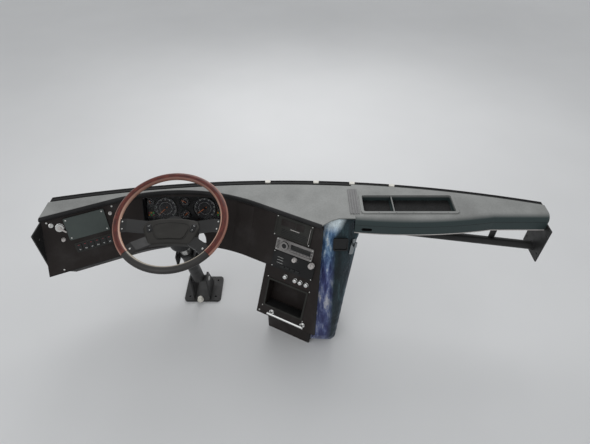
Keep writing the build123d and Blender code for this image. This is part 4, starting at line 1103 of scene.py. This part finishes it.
def dress_wheel():
    pad_top = at(WHEEL_FRAME, 0, 0, -0.0201)
    cap, groove, thumbs, marks, joints, screws = builds(6)
    cap.slab(pad_top, pad_shape(0.6), 0.003, 0.0022)
    cap.piece("horn_cap", "pad_grey", body="wheel")
    ring = [pad_top @ Vector((x, y, 0.0002)) for x, y in pad_shape(0.66)]
    groove.tube(ring + ring[:1], 0.0008, 6)
    groove.piece("pad_groove", "rubber", body="wheel")
    for side in (-1, 1):
        spot = turned(at(pad_top, side * 0.096, -0.026), side * math.degrees(-0.3))
        thumbs.slab(spot, rounded(0.022, 0.04, 0.007), 0.002, 0.0012)
        marks.block(at(spot, 0, 0.01, 0.002), (0.0085, 0.0012, 0.0002))
        marks.block(at(spot, 0, -0.01, 0.002), (0.0012, 0.007, 0.0002))
    thumbs.piece("thumb_keys", "black_gloss", body="wheel")
    marks.piece("thumb_marks", "black_gloss", "white_print", body="wheel")
    band = [(1, -0.001), (1, 0.001), (0.9, 0.001), (0.9, -0.001), (1, -0.001)]
    section = Matrix.Diagonal((RIM_W / 2 + 0.0006, 0.0146, 1, 1))
    for turn in (-43, 223):
        spot = at(turned(WHEEL_FRAME, turn), WHEEL_R - RIM_W / 2, 0)
        joints.lathe(turned(spot, 90, "X") @ section, band, 40)
    joints.piece("rim_joints", "rubber", body="wheel")
    for turn in (-42, -138):
        screws.screw(at(turned(WHEEL_FRAME, turn), 0.205, 0, SPOKE_TOP), 0.0042, 0.0014)
    for turn in (-7, 187):
        for y in (-0.018, 0.018):
            screws.screw(at(turned(WHEEL_FRAME, turn), 0.207, y, SPOKE_TOP), 0.0034, 0.0012)
    screws.piece("spoke_screws", "steel", body="wheel")


# Carrying frame
TUBE_Z = 0.556
TUBE_ENDS = ((LEFT_END_X + 0.001, -0.165), (RIGHT_END_X - 0.001, -0.16))
PIVOT_HALF, PIVOT_Y, PIVOT_Z = 0.0545, -0.05197, 0.17


def dress_frame():
    welds, nuts = builds(2)
    for x, y in TUBE_ENDS:
        welds.hoop(turned(at(WORLD, x, y, TUBE_Z), 90, "Y"), 0.0228, 0.0028, 36, 8)
    welds.piece("tube_welds", "black_paint")
    for side in (-1, 1):
        face = turned(at(WORLD, side * PIVOT_HALF, PIVOT_Y, PIVOT_Z), side * 90, "Y")
        nuts.lathe(face, [(0.0125, -0.004), (0.0125, 0.003), (0.0108, 0.0042), (0, 0.0042)], 6)
    nuts.piece("pivot_nuts", "steel", body="column")


def dress_all():
    for dress in (
        dress_gauges, dress_warning_lamps, dress_left_wing, dress_radio, dress_panel_screws,
        dress_upper_panel, dress_heater, dress_knob_row, dress_bin, dress_rail, dress_fascia,
        dress_screen, dress_shelf, soft_flank, dress_column, dress_foot_button, dress_wheel, dress_frame,
    ):
        dress()


# Camera, light and floor
WORLD_TONE, WORLD_STRENGTH = (0.97, 0.985, 1, 1), 0.62
BACKDROP = (0.9, 0.905, 0.91, 1)
# name, place, what it points at, size and power in watts
LIGHTS = (
    ("front_light", (0.6, 2.2, 2.6), (0.5, -0.1, 0.6), 2.6, 42),
    ("cabin_light", (-0.9, -2.2, 2.8), (0.4, -0.1, 0.5), 2.4, 16),
)


def place_camera():
    data = bpy.data.cameras.new("camera")
    data.sensor_width = SENSOR_MM
    data.lens = ZOOM * PHOTO_FOCAL_PX / PHOTO_WIDTH_PX * SENSOR_MM
    camera = added("camera", data)
    camera.location = CAMERA_PLACE
    camera.rotation_euler = (math.radians(90) - CAMERA_PITCH, 0, 0)
    bpy.context.scene.camera = camera


def light_scene():
    scene = bpy.context.scene
    scene.view_settings.view_transform = "Standard"
    world = bpy.data.worlds.new("world")
    scene.world = world
    world.use_nodes = True
    nodes, links = world.node_tree.nodes, world.node_tree.links
    background = nodes["Background"]
    background.inputs["Color"].default_value = WORLD_TONE
    background.inputs["Strength"].default_value = WORLD_STRENGTH
    seen = nodes.new("ShaderNodeBackground")
    seen.inputs["Color"].default_value = BACKDROP
    paths = nodes.new("ShaderNodeLightPath")
    mix = nodes.new("ShaderNodeMixShader")
    links.new(paths.outputs["Is Camera Ray"], mix.inputs["Fac"])
    links.new(background.outputs["Background"], mix.inputs[1])
    links.new(seen.outputs["Background"], mix.inputs[2])
    links.new(mix.outputs["Shader"], nodes["World Output"].inputs["Surface"])
    for name, place, target, size, power in LIGHTS:
        data = bpy.data.lights.new(name, "AREA")
        data.size, data.energy = size, power
        lamp = added(name, data)
        lamp.location = place
        lamp.rotation_euler = (Vector(target) - Vector(place)).to_track_quat("-Z", "Y").to_euler()


def lay_floor():
    bm = bmesh.new()
    bmesh.ops.create_grid(bm, x_segments=1, y_segments=1, size=30)
    mesh = bpy.data.meshes.new("floor")
    bm.to_mesh(mesh)
    bm.free()
    floor = added("floor", mesh)
    floor.location.z = -0.0005
    shader = Shader("floor")
    tone = shader.ramp(shader.noise(0.8, 3), (0.3, (0.66, 0.665, 0.67)), (0.7, (0.7, 0.705, 0.71)))
    shader.set(Base_Color=tone, Roughness=0.8)
    mesh.materials.append(shader.material)


place_camera()
light_scene()
lay_floor()
dress_cad_nodes()
dress_all()
